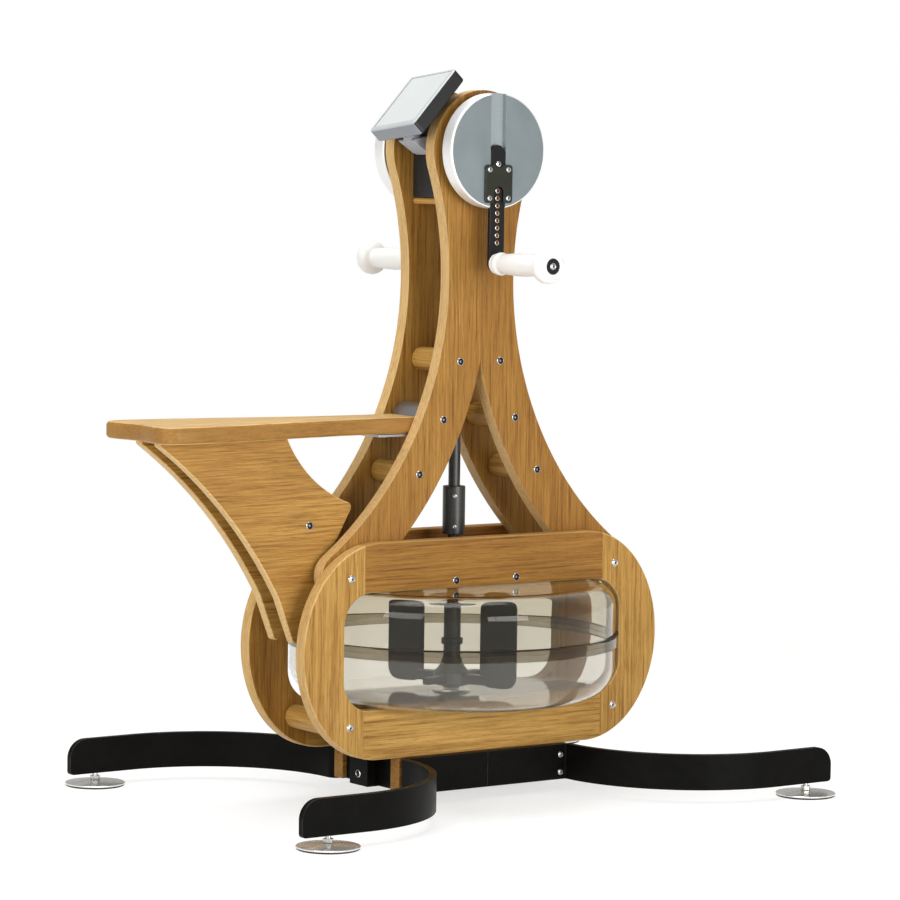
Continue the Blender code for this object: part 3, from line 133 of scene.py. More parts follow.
def arc_through(first: Point, middle: Point, last: Point, steps: int) -> list[Point]:
    """Points on the circle through three points.

    Args:
        first: Where the arc starts.
        middle: A point it passes.
        last: Where it ends.
        steps: Number of equal steps.

    Returns:
        steps + 1 points from first to last.
    """
    (ax, ay), (bx, by), (cx, cy) = first, middle, last
    area = 2 * (ax * (by - cy) + bx * (cy - ay) + cx * (ay - by))
    a2, b2, c2 = ax * ax + ay * ay, bx * bx + by * by, cx * cx + cy * cy
    ux = (a2 * (by - cy) + b2 * (cy - ay) + c2 * (ay - by)) / area
    uy = (a2 * (cx - bx) + b2 * (ax - cx) + c2 * (bx - ax)) / area
    start, end = math.atan2(ay - uy, ax - ux), math.atan2(cy - uy, cx - ux)
    turn = (end - start + math.pi) % (2 * math.pi) - math.pi
    return arc((ux, uy), math.hypot(ax - ux, ay - uy), start, start + turn, steps)


def rounded(outline: Sequence[Point], radius: float, steps: int) -> list[Point]:
    """Round the corners of an outline that turn by more than 20 degrees.

    Args:
        outline: Closed outline.
        radius: Radius of the rounding, cut to fit short sides.
        steps: Steps of each rounding.

    Returns:
        The new outline.
    """
    result: list[Point] = []
    for index, corner in enumerate(outline):
        here = Vector(corner)
        back = Vector(outline[index - 1]) - here
        ahead = Vector(outline[(index + 1) % len(outline)]) - here
        turn = math.pi - back.angle(ahead)
        if turn < math.radians(20):
            result.append((here.x, here.y))
            continue
        reach = min(radius * math.tan(turn / 2), 0.45 * back.length, 0.45 * ahead.length)
        near, far = here + back.normalized() * reach, here + ahead.normalized() * reach
        for step in range(steps + 1):
            share = step / steps
            spot = near * (1 - share) ** 2 + here * 2 * share * (1 - share) + far * share ** 2
            result.append((spot.x, spot.y))
    return result


def mirrored(outline: Sequence[Point], sign: int) -> list[Point]:
    """Mirror an outline in its first coordinate where sign is negative."""
    return list(outline) if sign > 0 else [(-u, v) for u, v in reversed(outline)]


def settle(node: Node, **values: object) -> None:
    """Set a node's inputs, or else its properties, by name.

    Args:
        node: Node to set.
        values: Values by name, with underscores for spaces.
    """
    entries: dict[str, Socket] = {}
    for entry in node.inputs:
        entries.setdefault(entry.name.lower(), entry)
    for key, value in values.items():
        label = key.replace("_", " ")
        if label in entries:
            entries[label].default_value = value
        else:
            setattr(node, key, value)


def wired(tree: Tree, kind: str, *sources: Socket, **values: object) -> Node:
    """Add a node, set it by name and link sockets to its first inputs.

    Args:
        tree: Node tree to add to.
        kind: Type of the node, after the ShaderNode that all types share.
        sources: Sockets for its first inputs, in order.
        values: Its inputs and properties by name.

    Returns:
        The new node.
    """
    node = tree.nodes.new("ShaderNode" + kind)
    settle(node, **values)
    for source, entry in zip(sources, node.inputs):
        tree.links.new(source, entry)
    return node


@dataclass(frozen=True)
class Finish:
    """What every surface finish shares: a name, and the steps that make its nodes."""

    name: str

    def build(self) -> bpy.types.Material:
        """Make the material.

        Returns:
            A material with this finish's nodes round its Principled shader.
        """
        material = bpy.data.materials.new(self.name)
        material.use_nodes = True
        tree = material.node_tree
        self.dress(tree, tree.nodes["Principled BSDF"])
        return material

    def dress(self, tree: Tree, shader: Node) -> None:
        """Add the nodes; each kind of finish has its own."""
        raise NotImplementedError

    @staticmethod
    def place(tree: Tree, scale: Spot = (1.0, 1.0, 1.0), rotation: Spot = (0.0, 0.0, 0.0),
              location: Spot = (0.0, 0.0, 0.0), source: Socket | None = None) -> Socket:
        """Map the object's own coordinates.

        Args:
            tree: Node tree to add to.
            scale: Scale along each axis.
            rotation: Turn in radians.
            location: Move after the turn.
            source: Socket to map in place of the object's coordinates.

        Returns:
            The mapped vector.
        """
        if source is None:
            source = wired(tree, "TexCoord").outputs["Object"]
        made = wired(tree, "Mapping", source, scale=scale, rotation=rotation, location=location)
        return made.outputs["Vector"]

    @staticmethod
    def noise(tree: Tree, vector: Socket, scale: float, detail: float, roughness: float) -> Socket:
        """Add a noise texture and return its value."""
        made = wired(tree, "TexNoise", vector, scale=scale, detail=detail, roughness=roughness)
        return made.outputs["Fac"]

    @staticmethod
    def ramp(tree: Tree, value: Socket, stops: Stops) -> Socket:
        """Colour a value by a ramp.

        Args:
            tree: Node tree to add to.
            value: Pattern from 0 to 1.
            stops: Places along the ramp and their colours.

        Returns:
            The colour.
        """
        made = wired(tree, "ValToRGB", value)
        while len(made.color_ramp.elements) < len(stops):
            made.color_ramp.elements.new(0.5)
        for element, (place, colour) in zip(made.color_ramp.elements, stops):
            element.position = place
            element.color = (*colour, 1.0)
        return made.outputs["Color"]

    def tinge(self, tree: Tree, shader: Node, value: Socket, colour: Colour, dark: Point,
              light: Point = (0.7, 1.0)) -> None:
        """Vary the shader's colour along a pattern.

        Args:
            tree: Node tree to add to.
            shader: Shader to colour.
            value: Pattern from 0 to 1.
            colour: The colour.
            dark: Place of the dark end in the pattern, and its share of the colour.
            light: The same of the light end.
        """
        stops = [(place, tuple(min(1.0, part * share) for part in colour)) for place, share in (dark, light)]
        tree.links.new(self.ramp(tree, value, stops), shader.inputs["Base Color"])

    @staticmethod
    def roughen(tree: Tree, shader: Node, value: Socket, low: float, high: float) -> None:
        """Vary the shader's roughness from low to high along a pattern."""
        made = wired(tree, "MapRange", value, to_min=low, to_max=high)
        tree.links.new(made.outputs["Result"], shader.inputs["Roughness"])

    @staticmethod
    def bump(tree: Tree, shader: Node, height: Socket, strength: float, distance: float) -> None:
        """Drive the shader's normal from a height.

        Args:
            tree: Node tree to add to.
            shader: Shader to give relief.
            height: Pattern that stands for the relief.
            strength: Share of the relief that shows.
            distance: Depth of the relief.
        """
        made = wired(tree, "Bump", strength=strength, distance=distance)
        tree.links.new(height, made.inputs["Height"])
        tree.links.new(made.outputs["Normal"], shader.inputs["Normal"])


@dataclass(frozen=True)
class Marks:
    """Marks in the wood that are drawn out along the grain."""

    along: float
    across: float
    detail: float
    roughness: float
    share: float = 1.0
    stops: Stops = ()


GROUND = [(0.30, (0.455, 0.246, 0.056)), (0.50, (0.512, 0.293, 0.071)), (0.72, (0.570, 0.343, 0.092))]
GROWTH = [(0.0, (1.05, 1.06, 1.10)), (0.50, (1.0, 1.0, 1.0)), (0.82, (0.84, 0.76, 0.64)),
          (0.95, (0.62, 0.50, 0.36)), (1.0, (0.80, 0.70, 0.58))]
SLOW = Marks(2.2, 16.0, 3.0, 0.55)
BROAD = Marks(2.6, 62.0, 4.0, 0.6, 0.55, [
    (0.30, (0.80, 0.73, 0.64)), (0.47, (0.97, 0.96, 0.94)), (0.60, (1.03, 1.03, 1.04)),
    (0.78, (1.12, 1.15, 1.20))])
STREAKS = Marks(7.5, 260.0, 5.0, 0.68, 0.85, [
    (0.34, (0.50, 0.38, 0.27)), (0.43, (0.86, 0.81, 0.74)), (0.53, (1.04, 1.05, 1.06)),
    (0.68, (1.24, 1.30, 1.42))])
FIBRES = Marks(26.0, 800.0, 3.0, 0.6, 0.75, [
    (0.30, (0.74, 0.66, 0.56)), (0.50, (1.0, 1.0, 1.0)), (0.72, (1.12, 1.14, 1.18))])
PORES = Marks(45.0, 1100.0, 2.0, 0.6, 0.70, [(0.30, (0.50, 0.40, 0.30)), (0.42, (1.0, 1.0, 1.0))])


@dataclass(frozen=True)
class Oak(Finish):
    """Oiled oak: growth rings, streaks, fibres, pores and slow changes of tone."""

    grain: Grain = Grain.ALONG
    offset: Spot = (0.0, 0.0, 0.0)
    tone: float = 1.0
    # share of the pale colour mixed in; on the copies from edge() it helps paint light: highlight on most
    # boards, shade on the seat
    paling: float = 0.0
    marks: float = 1.0
    figure: float = 0.45
    tilt: float = 0.4
    stretch: float = 0.08
    rings: float = 62.0
    wander: float = 6.0
    pith: Spot = (0.0, 0.03, 0.055)
    pale: Colour = (0.77, 0.54, 0.27)

    def shade(self, colour: Colour) -> Colour:
        """Deepen a colour to this board's tone, the blue most, and pale it.

        Args:
            colour: Colour of oak of tone 1.

        Returns:
            The board's colour.
        """
        deep = (part * self.tone ** power for part, power in zip(colour, (1.0, 1.45, 2.3)))
        return tuple((1.0 - self.paling) * part + self.paling * pale for part, pale in zip(deep, self.pale))

    def edge(self, tone: float = 1.40, paling: float = 0.56) -> "Oak":
        """Copy of the oak for a board's narrow faces and rounded edges, lighter and paler by default: painted
        highlight for the light from the side.
        """
        return replace(self, name=self.name + "_edge", tone=self.tone * tone, paling=paling, marks=0.5)

    def drawn(self, tree: Tree, board: Socket, marks: Marks) -> Socket:
        """Add noise that is drawn out along the board."""
        stretched = self.place(tree, (marks.along, marks.across, marks.across), source=board)
        return self.noise(tree, stretched, 1.0, marks.detail, marks.roughness)

    def layer(self, tree: Tree, below: Socket, value: Socket, stops: Stops, share: float) -> Socket:
        """Multiply a layer of marks onto the wood.

        Args:
            tree: Node tree to add to.
            below: Colour so far.
            value: Pattern from 0 to 1.
            stops: Tones along the pattern.
            share: How much of the layer shows.

        Returns:
            The new colour.
        """
        made = wired(tree, "Mix", data_type="RGBA", blend_type="MULTIPLY")
        made.inputs[0].default_value = share * self.marks
        tree.links.new(below, made.inputs[6])
        tree.links.new(self.ramp(tree, value, stops), made.inputs[7])
        return made.outputs[2]

    def dress(self, tree: Tree, shader: Node) -> None:
        """Lay the wood's tones over each other, from the slow to the fine.

        Args:
            tree: Node tree to add to.
            shader: Shader to dress.
        """
        board = self.place(tree, rotation=self.grain.value, location=self.offset)
        ground = [(place, self.shade(colour)) for place, colour in GROUND]
        wood = self.ramp(tree, self.drawn(tree, board, SLOW), ground)
        heart = self.place(tree, (self.stretch, 1.0, 1.0), (0.0, self.tilt, 0.0), self.pith, board)
        rings = wired(tree, "TexWave", heart, wave_type="RINGS", rings_direction="X",
                      wave_profile="SAW", scale=self.rings, distortion=self.wander, detail=4.0,
                      detail_scale=0.5, detail_roughness=0.6)
        wood = self.layer(tree, wood, rings.outputs["Fac"], GROWTH, self.figure)
        values = []
        for marks in (BROAD, STREAKS, FIBRES, PORES):
            values.append(self.drawn(tree, board, marks))
            wood = self.layer(tree, wood, values[-1], marks.stops, marks.share)
        tree.links.new(wood, shader.inputs["Base Color"])
        self.roughen(tree, shader, values[1], 0.40, 0.54)
        settle(shader, specular_ior_level=0.26)
        self.bump(tree, shader, values[3], 0.20, 0.0003)


@dataclass(frozen=True)
class Metal(Finish):
    """Bare or coated metal with fine scratches in its tone, roughness and relief."""

    colour: Colour = (0.5, 0.5, 0.5)
    roughness: float = 0.3
    metallic: float = 1.0
    brush: Spot = (180.0, 180.0, 180.0)
    variation: float = 0.08
    relief: float = 0.05
    gloss: float = 0.5

    def dress(self, tree: Tree, shader: Node) -> None:
        """Brush the metal.

        Args:
            tree: Node tree to add to.
            shader: Shader to dress.
        """
        marks = self.noise(tree, self.place(tree, self.brush), 1.0, 4.0, 0.6)
        self.tinge(tree, shader, marks, self.colour, (0.25, 1 - self.variation), (0.75, 1 + self.variation))
        self.roughen(tree, shader, marks, self.roughness * 0.75, self.roughness * 1.25)
        settle(shader, metallic=self.metallic, specular_ior_level=self.gloss)
        if self.relief:
            self.bump(tree, shader, marks, self.relief, 0.0002)


@dataclass(frozen=True)
class LatheFace(Finish):
    """Satin metal turned on a lathe, with fine rings about the crank's axis."""

    colour: Colour = (0.228, 0.266, 0.275)
    roughness: float = 0.42
    metallic: float = 0.7
    height: float = 0.9808

    def dress(self, tree: Tree, shader: Node) -> None:
        """Turn the rings about a line along Y at the given height.

        Args:
            tree: Node tree to add to.
            shader: Shader to dress.
        """
        centred = self.place(tree, location=(-SHIFT, 0.0, -self.height))
        rings = wired(tree, "TexWave", centred, wave_type="RINGS", rings_direction="Y",
                      scale=90.0, distortion=1.2, detail=2.0, detail_scale=1.0)
        cloud = self.noise(tree, centred, 22.0, 3.0, 0.55)
        self.tinge(tree, shader, cloud, self.colour, (0.3, 0.94), (0.7, 1.06))
        self.roughen(tree, shader, cloud, self.roughness * 0.85, self.roughness * 1.15)
        settle(shader, metallic=self.metallic)
        self.bump(tree, shader, rings.outputs["Fac"], 0.04, 0.0002)


@dataclass(frozen=True)
class Plastic(Finish):
    """Moulded plastic with a fine texture."""

    colour: Colour = (0.5, 0.5, 0.5)
    roughness: float = 0.45
    texture: float = 700.0
    relief: float = 0.12
    glow: float = 0.0

    def dress(self, tree: Tree, shader: Node) -> None:
        """Give the plastic its grained surface, and depth where it glows.

        Args:
            tree: Node tree to add to.
            shader: Shader to dress.
        """
        fine = self.noise(tree, self.place(tree), self.texture, 2.0, 0.5)
        cloud = self.noise(tree, self.place(tree), 14.0, 2.0, 0.5)
        self.tinge(tree, shader, cloud, self.colour, (0.3, 0.95))
        self.roughen(tree, shader, cloud, self.roughness * 0.9, self.roughness * 1.1)
        if self.glow:
            settle(shader, subsurface_weight=self.glow, subsurface_radius=(0.004, 0.004, 0.003),
                   subsurface_scale=1.0)
        self.bump(tree, shader, fine, self.relief, 0.0001)


@dataclass(frozen=True)
class ClearPlastic(Finish):
    """See-through tank plastic with a smoke tint and faint waves."""

    tint: Colour = (0.76, 0.72, 0.62)
    roughness: float = 0.004
    ior: float = 1.27
    veil: float = 0.0

    def dress(self, tree: Tree, shader: Node) -> None:
        """Make the plastic refract.

        Args:
            tree: Node tree to add to.
            shader: Shader to dress.
        """
        waves = self.noise(tree, self.place(tree), 9.0, 1.0, 0.4)
        self.tinge(tree, shader, waves, self.tint, (0.3, 0.96))
        self.roughen(tree, shader, waves, 0.0, self.roughness * 2)
        settle(shader, transmission_weight=1.0 - self.veil, ior=self.ior, specular_ior_level=0.2)
        self.bump(tree, shader, waves, 0.05, 0.004)


@dataclass(frozen=True)
class Display(Finish):
    """Blank display window: a pale field with a soft sheen."""

    colour: Colour = (0.69, 0.725, 0.715)
    cool: Colour = (0.93, 0.94, 0.95)

    def dress(self, tree: Tree, shader: Node) -> None:
        """Cloud the field and put a glossy cover on it.

        Args:
            tree: Node tree to add to.
            shader: Shader to dress.
        """
        cloud = self.noise(tree, self.place(tree), 12.0, 2.0, 0.5)
        shaded = tuple(part * share for part, share in zip(self.colour, self.cool))
        tone = self.ramp(tree, cloud, [(0.25, shaded), (0.75, self.colour)])
        tree.links.new(tone, shader.inputs["Base Color"])
        self.roughen(tree, shader, cloud, 0.22, 0.30)
        settle(shader, coat_weight=0.5, coat_roughness=0.08)


@dataclass
class Paints:
    """The finishes of this machine, each made once."""

    made: dict[str, bpy.types.Material] = field(default_factory=dict)

    def get(self, finish: Finish) -> bpy.types.Material:
        """Return the material of a finish, building it the first time."""
        if finish.name not in self.made:
            self.made[finish.name] = finish.build()
        return self.made[finish.name]


SATIN_BLACK = Metal("satin_black_steel", (0.0046, 0.0044, 0.0036), 0.38, metallic=0.0,
                    brush=(60.0, 60.0, 60.0), variation=0.25, relief=0.08, gloss=0.055)
# lighter black for the legs' rounded edges: painted highlight along them
EDGE_HIGHLIGHT_BLACK = Metal("painted_highlight_black_edge", (0.075, 0.075, 0.066), metallic=0.6,
                   brush=(90.0, 90.0, 90.0), variation=0.4)
ARM_BLACK = Metal("arm_black", (0.007, 0.007, 0.007), 0.35, metallic=0.0,
                  brush=(900.0, 900.0, 60.0), variation=0.2, gloss=0.25)
CHROME = Metal("chrome", (0.86, 0.86, 0.85), 0.12, variation=0.03, relief=0.0)
FOOT_STEEL = Metal("foot_satin_chrome", (0.90, 0.88, 0.84), 0.26, metallic=0.8,
                   variation=0.04, brush=(90.0, 90.0, 90.0))
ZINC = Metal("zinc_plate", (0.60, 0.60, 0.58), 0.28, variation=0.12,
             brush=(400.0, 400.0, 400.0))
BLACK_SCREW = Metal("black_screw", (0.018, 0.018, 0.020), metallic=0.6)
DISC_FACE = LatheFace("disc_satin_face")
DISC_RIM = Metal("disc_polished_rim", (0.92, 0.92, 0.91), 0.42, metallic=0.45,
                 variation=0.03, brush=(25.0, 900.0, 25.0))
# lighter copy of the disc metal for the groove: painted highlight on its walls and floor
GROOVE_HIGHLIGHT = Metal("disc_milled_groove", (0.38, 0.43, 0.44), 0.34, metallic=0.7,
                      variation=0.05, brush=(60.0, 60.0, 600.0))
PLATE_DARK = Metal("clamp_plate_dark", (0.036, 0.039, 0.028), 0.32, metallic=0.7,
                   brush=(40.0, 40.0, 900.0), variation=0.12)
SHAFT_DARK = Metal("shaft_dark_steel", (0.060, 0.060, 0.058), 0.36, metallic=0.7,
                   brush=(40.0, 40.0, 900.0), variation=0.15)
STEEL = Metal("turned_steel", (0.45, 0.45, 0.45), variation=0.1)
HOOK_GREY = Metal("hook_grey", (0.40, 0.41, 0.42), 0.34, metallic=0.9,
                  brush=(600.0, 30.0, 600.0))
INSERT_WARM = Metal("threaded_insert", (0.66, 0.50, 0.36), 0.22, variation=0.10,
                    brush=(200.0, 200.0, 200.0))
GRIP_WHITE = Plastic("grip_off_white", (0.96, 0.95, 0.925), 0.34, glow=0.15)
RUBBER = Plastic("black_rubber", (0.016, 0.016, 0.016), 0.75, texture=900.0)
CASE_BLACK = Plastic("case_black", (0.005, 0.005, 0.006), 0.50)
CASE_GREY = Plastic("case_grey", (0.26, 0.28, 0.31))
HOUSING_DARK = Plastic("housing_dark", (0.013, 0.013, 0.014), 0.50)
PADDLE_DARK = Plastic("paddle_dark", (0.012, 0.012, 0.011), 0.42, relief=0.05)
ARM_GREY = Plastic("monitor_arm_grey", (0.47, 0.50, 0.54), 0.42, relief=0.05)
SEAL_BLACK = Plastic("tank_seal", (0.008, 0.008, 0.008), 0.5)
SCREEN_FRAME = Plastic("screen_frame_silver", (0.50, 0.52, 0.53), 0.34)
TANK_LID = ClearPlastic("tank_lid_smoke")
TANK_BOWL = ClearPlastic("tank_bowl_smoke", (0.87, 0.85, 0.79), veil=0.05)
TANK_BAND = ClearPlastic("tank_band", (0.42, 0.38, 0.31), 0.03)
LCD = Display("display_pale")


@dataclass
class Bench:
    """Modelling steps that the sub-assemblies share."""

    paints: Paints = field(default_factory=Paints)

    @staticmethod
    def clear() -> None:
        """Deselect everything."""
        if bpy.context.object and bpy.context.object.mode != "OBJECT":
            bpy.ops.object.mode_set(mode="OBJECT")
        bpy.ops.object.select_all(action="DESELECT")

    @staticmethod
    def pick(*pieces: Piece) -> None:
        """Make these pieces the only ones selected, and the first one active."""
        Bench.clear()
        for piece in pieces:
            piece.select_set(True)
        bpy.context.view_layer.objects.active = pieces[0]

    @staticmethod
    def point_outwards(piece: Piece, travel: Sequence[float] | None = None) -> None:
        """Point the faces of a piece outwards, once it has its thickness.

        Args:
            piece: Piece to change.
            travel: Vector to extrude a flat piece by.
        """
        Bench.pick(piece)
        bpy.ops.object.mode_set(mode="EDIT")
        bpy.ops.mesh.select_all(action="SELECT")
        if travel is not None:
            bpy.ops.mesh.extrude_region_move(TRANSFORM_OT_translate={"value": travel})
            bpy.ops.mesh.select_all(action="SELECT")
        bpy.ops.mesh.normals_make_consistent(inside=False)
        bpy.ops.object.mode_set(mode="OBJECT")

    @staticmethod
    def board(name: str, outline: Sequence[Point], place: Callable[[float, float, float], Vector],
              near: float, far: float) -> Piece:
        """Extrude a flat outline into a board.

        Args:
            name: Name of the piece.
            outline: Closed outline in the board's own plane.
            place: Turns two outline coordinates and a depth into a point.
            near: Depth of one face.
            far: Depth of the other face.

        Returns:
            A closed solid with square edges.
        """
        low, high = sorted((near, far))
        Bench.clear()
        bpy.ops.mesh.primitive_circle_add(vertices=len(outline), radius=1.0, fill_type="NGON")
        piece = bpy.context.object
        piece.name = name
        for vertex, (u, v) in zip(piece.data.vertices, outline):
            vertex.co = place(u, v, low)
        Bench.point_outwards(piece, place(0.0, 0.0, high) - place(0.0, 0.0, low))
        return piece

    @staticmethod
    def upright_board(name: str, outline: Sequence[Point], near: float, far: float) -> Piece:
        """Board with its outline in X and Z, between two values of Y."""
        return Bench.board(name, outline, lambda u, v, w: Vector((u, w, v)), near, far)

    @staticmethod
    def flat_board(name: str, outline: Sequence[Point], near: float, far: float) -> Piece:
        """Board with its outline in X and Y, between two heights."""
        return Bench.board(name, outline, lambda u, v, w: Vector((u, v, w)), near, far)

    @staticmethod
    def box(name: str, first: Sequence[float], last: Sequence[float], edge: float,
            segments: int = 3) -> Piece:
        """Block with rounded edges.

        Args:
            name: Name of the piece.
            first: One corner.
            last: The corner across from it.
            edge: Width of the rounding, or 0 for square edges.
            segments: Faces across the rounding.

        Returns:
            A closed solid.
        """
        Bench.clear()
        middle = [(a + b) / 2 for a, b in zip(first, last)]
        size = [abs(b - a) for a, b in zip(first, last)]
        bpy.ops.mesh.primitive_cube_add(size=1.0, location=middle, scale=size)
        piece = bpy.context.object
        piece.name = name
        bpy.ops.object.transform_apply(location=True, rotation=True, scale=True)
        if edge:
            Bench.round_edges(piece, edge, segments)
        return piece

    @staticmethod
    def rod(sides: int, radius: float, depth: float, centre: Sequence[float], lying: bool = False) -> Piece:
        """Upright rod, or one along Y, that is a start for other shapes.

        Args:
            sides: Number of its sides.
            radius: Its radius.
            depth: Its length.
            centre: Its middle.
            lying: Whether it lies along Y.

        Returns:
            The rod.
        """
        Bench.clear()
        bpy.ops.mesh.primitive_cylinder_add(vertices=sides, radius=radius, depth=depth, location=centre,
                                            rotation=(QUARTER if lying else 0.0, 0, 0))
        return bpy.context.object

    @staticmethod
    def turned(name: str, profile: Sequence[Point], steps: int, centre: Sequence[float] = (0, 0, 0),
               outward: Sequence[float] = (0, 0, 1), loop: bool = False) -> Piece:
        """Spin a profile of radius and height about an axis.

        Args:
            name: Name of the piece.
            profile: Radius and height along the axis. An open profile starts
                and ends on the axis, a loop stays clear of it.
            steps: Steps of the spin.
            centre: A point on the axis, where heights are 0.
            outward: Direction in which heights rise.
            loop: Whether the profile closes on itself.

        Returns:
            A closed solid.
        """
        Bench.clear()
        axis = Vector(outward).normalized()
        start = Vector(centre)
        radial = axis.orthogonal().normalized()
        bpy.ops.mesh.primitive_circle_add(vertices=len(profile), radius=1.0, fill_type="NOTHING")
        piece = bpy.context.object
        piece.name = name
        for vertex, (radius, height) in zip(piece.data.vertices, profile):
            vertex.co = start + radial * radius + axis * height
        bpy.ops.object.mode_set(mode="EDIT")
        if not loop:
            shell = bmesh.from_edit_mesh(piece.data)
            ends = {0, len(profile) - 1}
            for edge in shell.edges:
                edge.select_set({vertex.index for vertex in edge.verts} == ends)
            bmesh.update_edit_mesh(piece.data)
            bpy.ops.mesh.delete(type="EDGE")
        bpy.ops.mesh.select_all(action="SELECT")
        bpy.ops.mesh.spin(steps=steps, angle=2 * math.pi, center=start, axis=axis)
        bpy.ops.mesh.select_all(action="SELECT")
        bpy.ops.mesh.remove_doubles(threshold=0.000002)
        bpy.ops.mesh.normals_make_consistent(inside=False)
        bpy.ops.object.mode_set(mode="OBJECT")
        return piece

    @staticmethod
    def round_edges(piece: Piece, width: float, segments: int, keep: EdgeRule | None = None,
                    paint: int = -1) -> None:
        """Round the sharp edges of a piece.

        Args:
            piece: Piece to change.
            width: Width of the rounding.
            segments: Faces across it.
            keep: Says of an edge's two ends whether it stays square.
            paint: Place of the rounding's finish among the piece's own.
        """
        Bench.pick(piece)
        bpy.ops.object.mode_set(mode="EDIT")
        bpy.ops.mesh.select_all(action="DESELECT")
        shell = bmesh.from_edit_mesh(piece.data)
        for edge in shell.edges:
            sharp = len(edge.link_faces) == 2 and edge.calc_face_angle(0.0) > SHARP
            if sharp and not (keep and keep(edge.verts[0].co, edge.verts[1].co)):
                edge.select_set(True)
        bmesh.update_edit_mesh(piece.data)
        bpy.ops.mesh.bevel(offset=width, offset_type="OFFSET", segments=segments, profile=0.5,
                           affect="EDGES", clamp_overlap=True, loop_slide=True, material=paint)
        bpy.ops.object.mode_set(mode="OBJECT")

    @staticmethod
    def cut(piece: Piece, tool: Piece, operation: str = "DIFFERENCE") -> None:
        """Cut a tool from a piece and use it up.

        Args:
            piece: Piece to change.
            tool: Piece that is used up.
            operation: The cut, or another kind of boolean.
        """
        Bench.pick(piece)
        step = piece.modifiers.new("Shape", "BOOLEAN")
        step.operation = operation
        step.solver = "EXACT"
        step.object = tool
        bpy.ops.object.modifier_apply(modifier=step.name)
        bpy.data.objects.remove(tool, do_unlink=True)

    @staticmethod
    def fuse(piece: Piece, tool: Piece) -> None:
        """Fuse a tool to a piece and use it up."""
        Bench.cut(piece, tool, "UNION")

    @staticmethod
    def repeat(name: str, first: Piece, places: Sequence[Matrix]) -> Piece:
        """Copy a piece to each place, each copy with its own mesh, and join them.

        Args:
            name: Name of the joined piece.
            first: Piece to copy, which is used up.
            places: Where the copies go.

        Returns:
            The copies as one piece.
        """
        copies = []
        for matrix in places:
            Bench.pick(first)
            bpy.ops.object.duplicate(linked=False)
            copies.append(bpy.context.object)
            copies[-1].data.transform(matrix)
        bpy.data.objects.remove(first, do_unlink=True)
        if len(copies) > 1:
            Bench.pick(*copies)
            bpy.ops.object.join()
        copies[0].name = name
        return copies[0]

    def coat(self, piece: Piece, *finishes: Finish) -> None:
        """Add these finishes to a piece's own."""
        for finish in finishes:
            piece.data.materials.append(self.paints.get(finish))

    def deliver(self, piece: Piece, finish: Finish, slot: Slot = Slot.OAK, node: str = "",
                body: str = "frame", angle: float = 40.0, edges: Finish | None = None, flat: int = 1) -> None:
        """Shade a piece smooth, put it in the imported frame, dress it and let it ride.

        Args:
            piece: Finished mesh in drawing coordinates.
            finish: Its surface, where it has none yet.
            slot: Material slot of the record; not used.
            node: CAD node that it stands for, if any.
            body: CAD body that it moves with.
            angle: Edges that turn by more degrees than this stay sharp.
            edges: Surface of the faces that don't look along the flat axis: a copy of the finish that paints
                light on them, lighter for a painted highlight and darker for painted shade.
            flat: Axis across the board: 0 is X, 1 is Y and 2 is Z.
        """
        Bench.pick(piece)
        bpy.ops.object.shade_smooth_by_angle(angle=math.radians(angle))
        even = piece.modifiers.new("Even", "WEIGHTED_NORMAL")
        even.keep_sharp = True
        bpy.ops.object.modifier_apply(modifier=even.name)
        piece.location.x += SHIFT
        bpy.ops.object.transform_apply(location=True, rotation=True, scale=True)
        if not piece.data.materials:
            self.coat(piece, finish)
        if edges:
            self.coat(piece, edges)
            for face in piece.data.polygons:
                face.material_index = int(abs(face.normal[flat]) < FACING)
        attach(piece, body)
        if node:
            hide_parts(node)
        LOG.info("%s rides on %s, %d faces", piece.name, body, len(piece.data.polygons))

    def dowel(self, node: str, radius: float, half: float, centre: Sequence[float]) -> None:
        """Turn and deliver an oak dowel along Y, with well rounded ends.

        Args:
            node: CAD node that it stands for.
            radius: Its radius.
            half: Half of its length.
            centre: Its middle.
        """
        soft = 0.0045
        profile = [(0.0, -half)] + arc((radius - soft, soft - half), soft, -QUARTER, 0.0, 6)
        profile += arc((radius - soft, half - soft), soft, 0.0, QUARTER, 6) + [(0.0, half)]
        oak = Oak("oak_dowels", grain=Grain.ACROSS, tone=0.98, figure=0.2, offset=(0.31, 0.02, 0.0))
        self.deliver(Bench.turned(node + "_oak", profile, 56, centre, (0, 1, 0)), oak, node=node, angle=30)


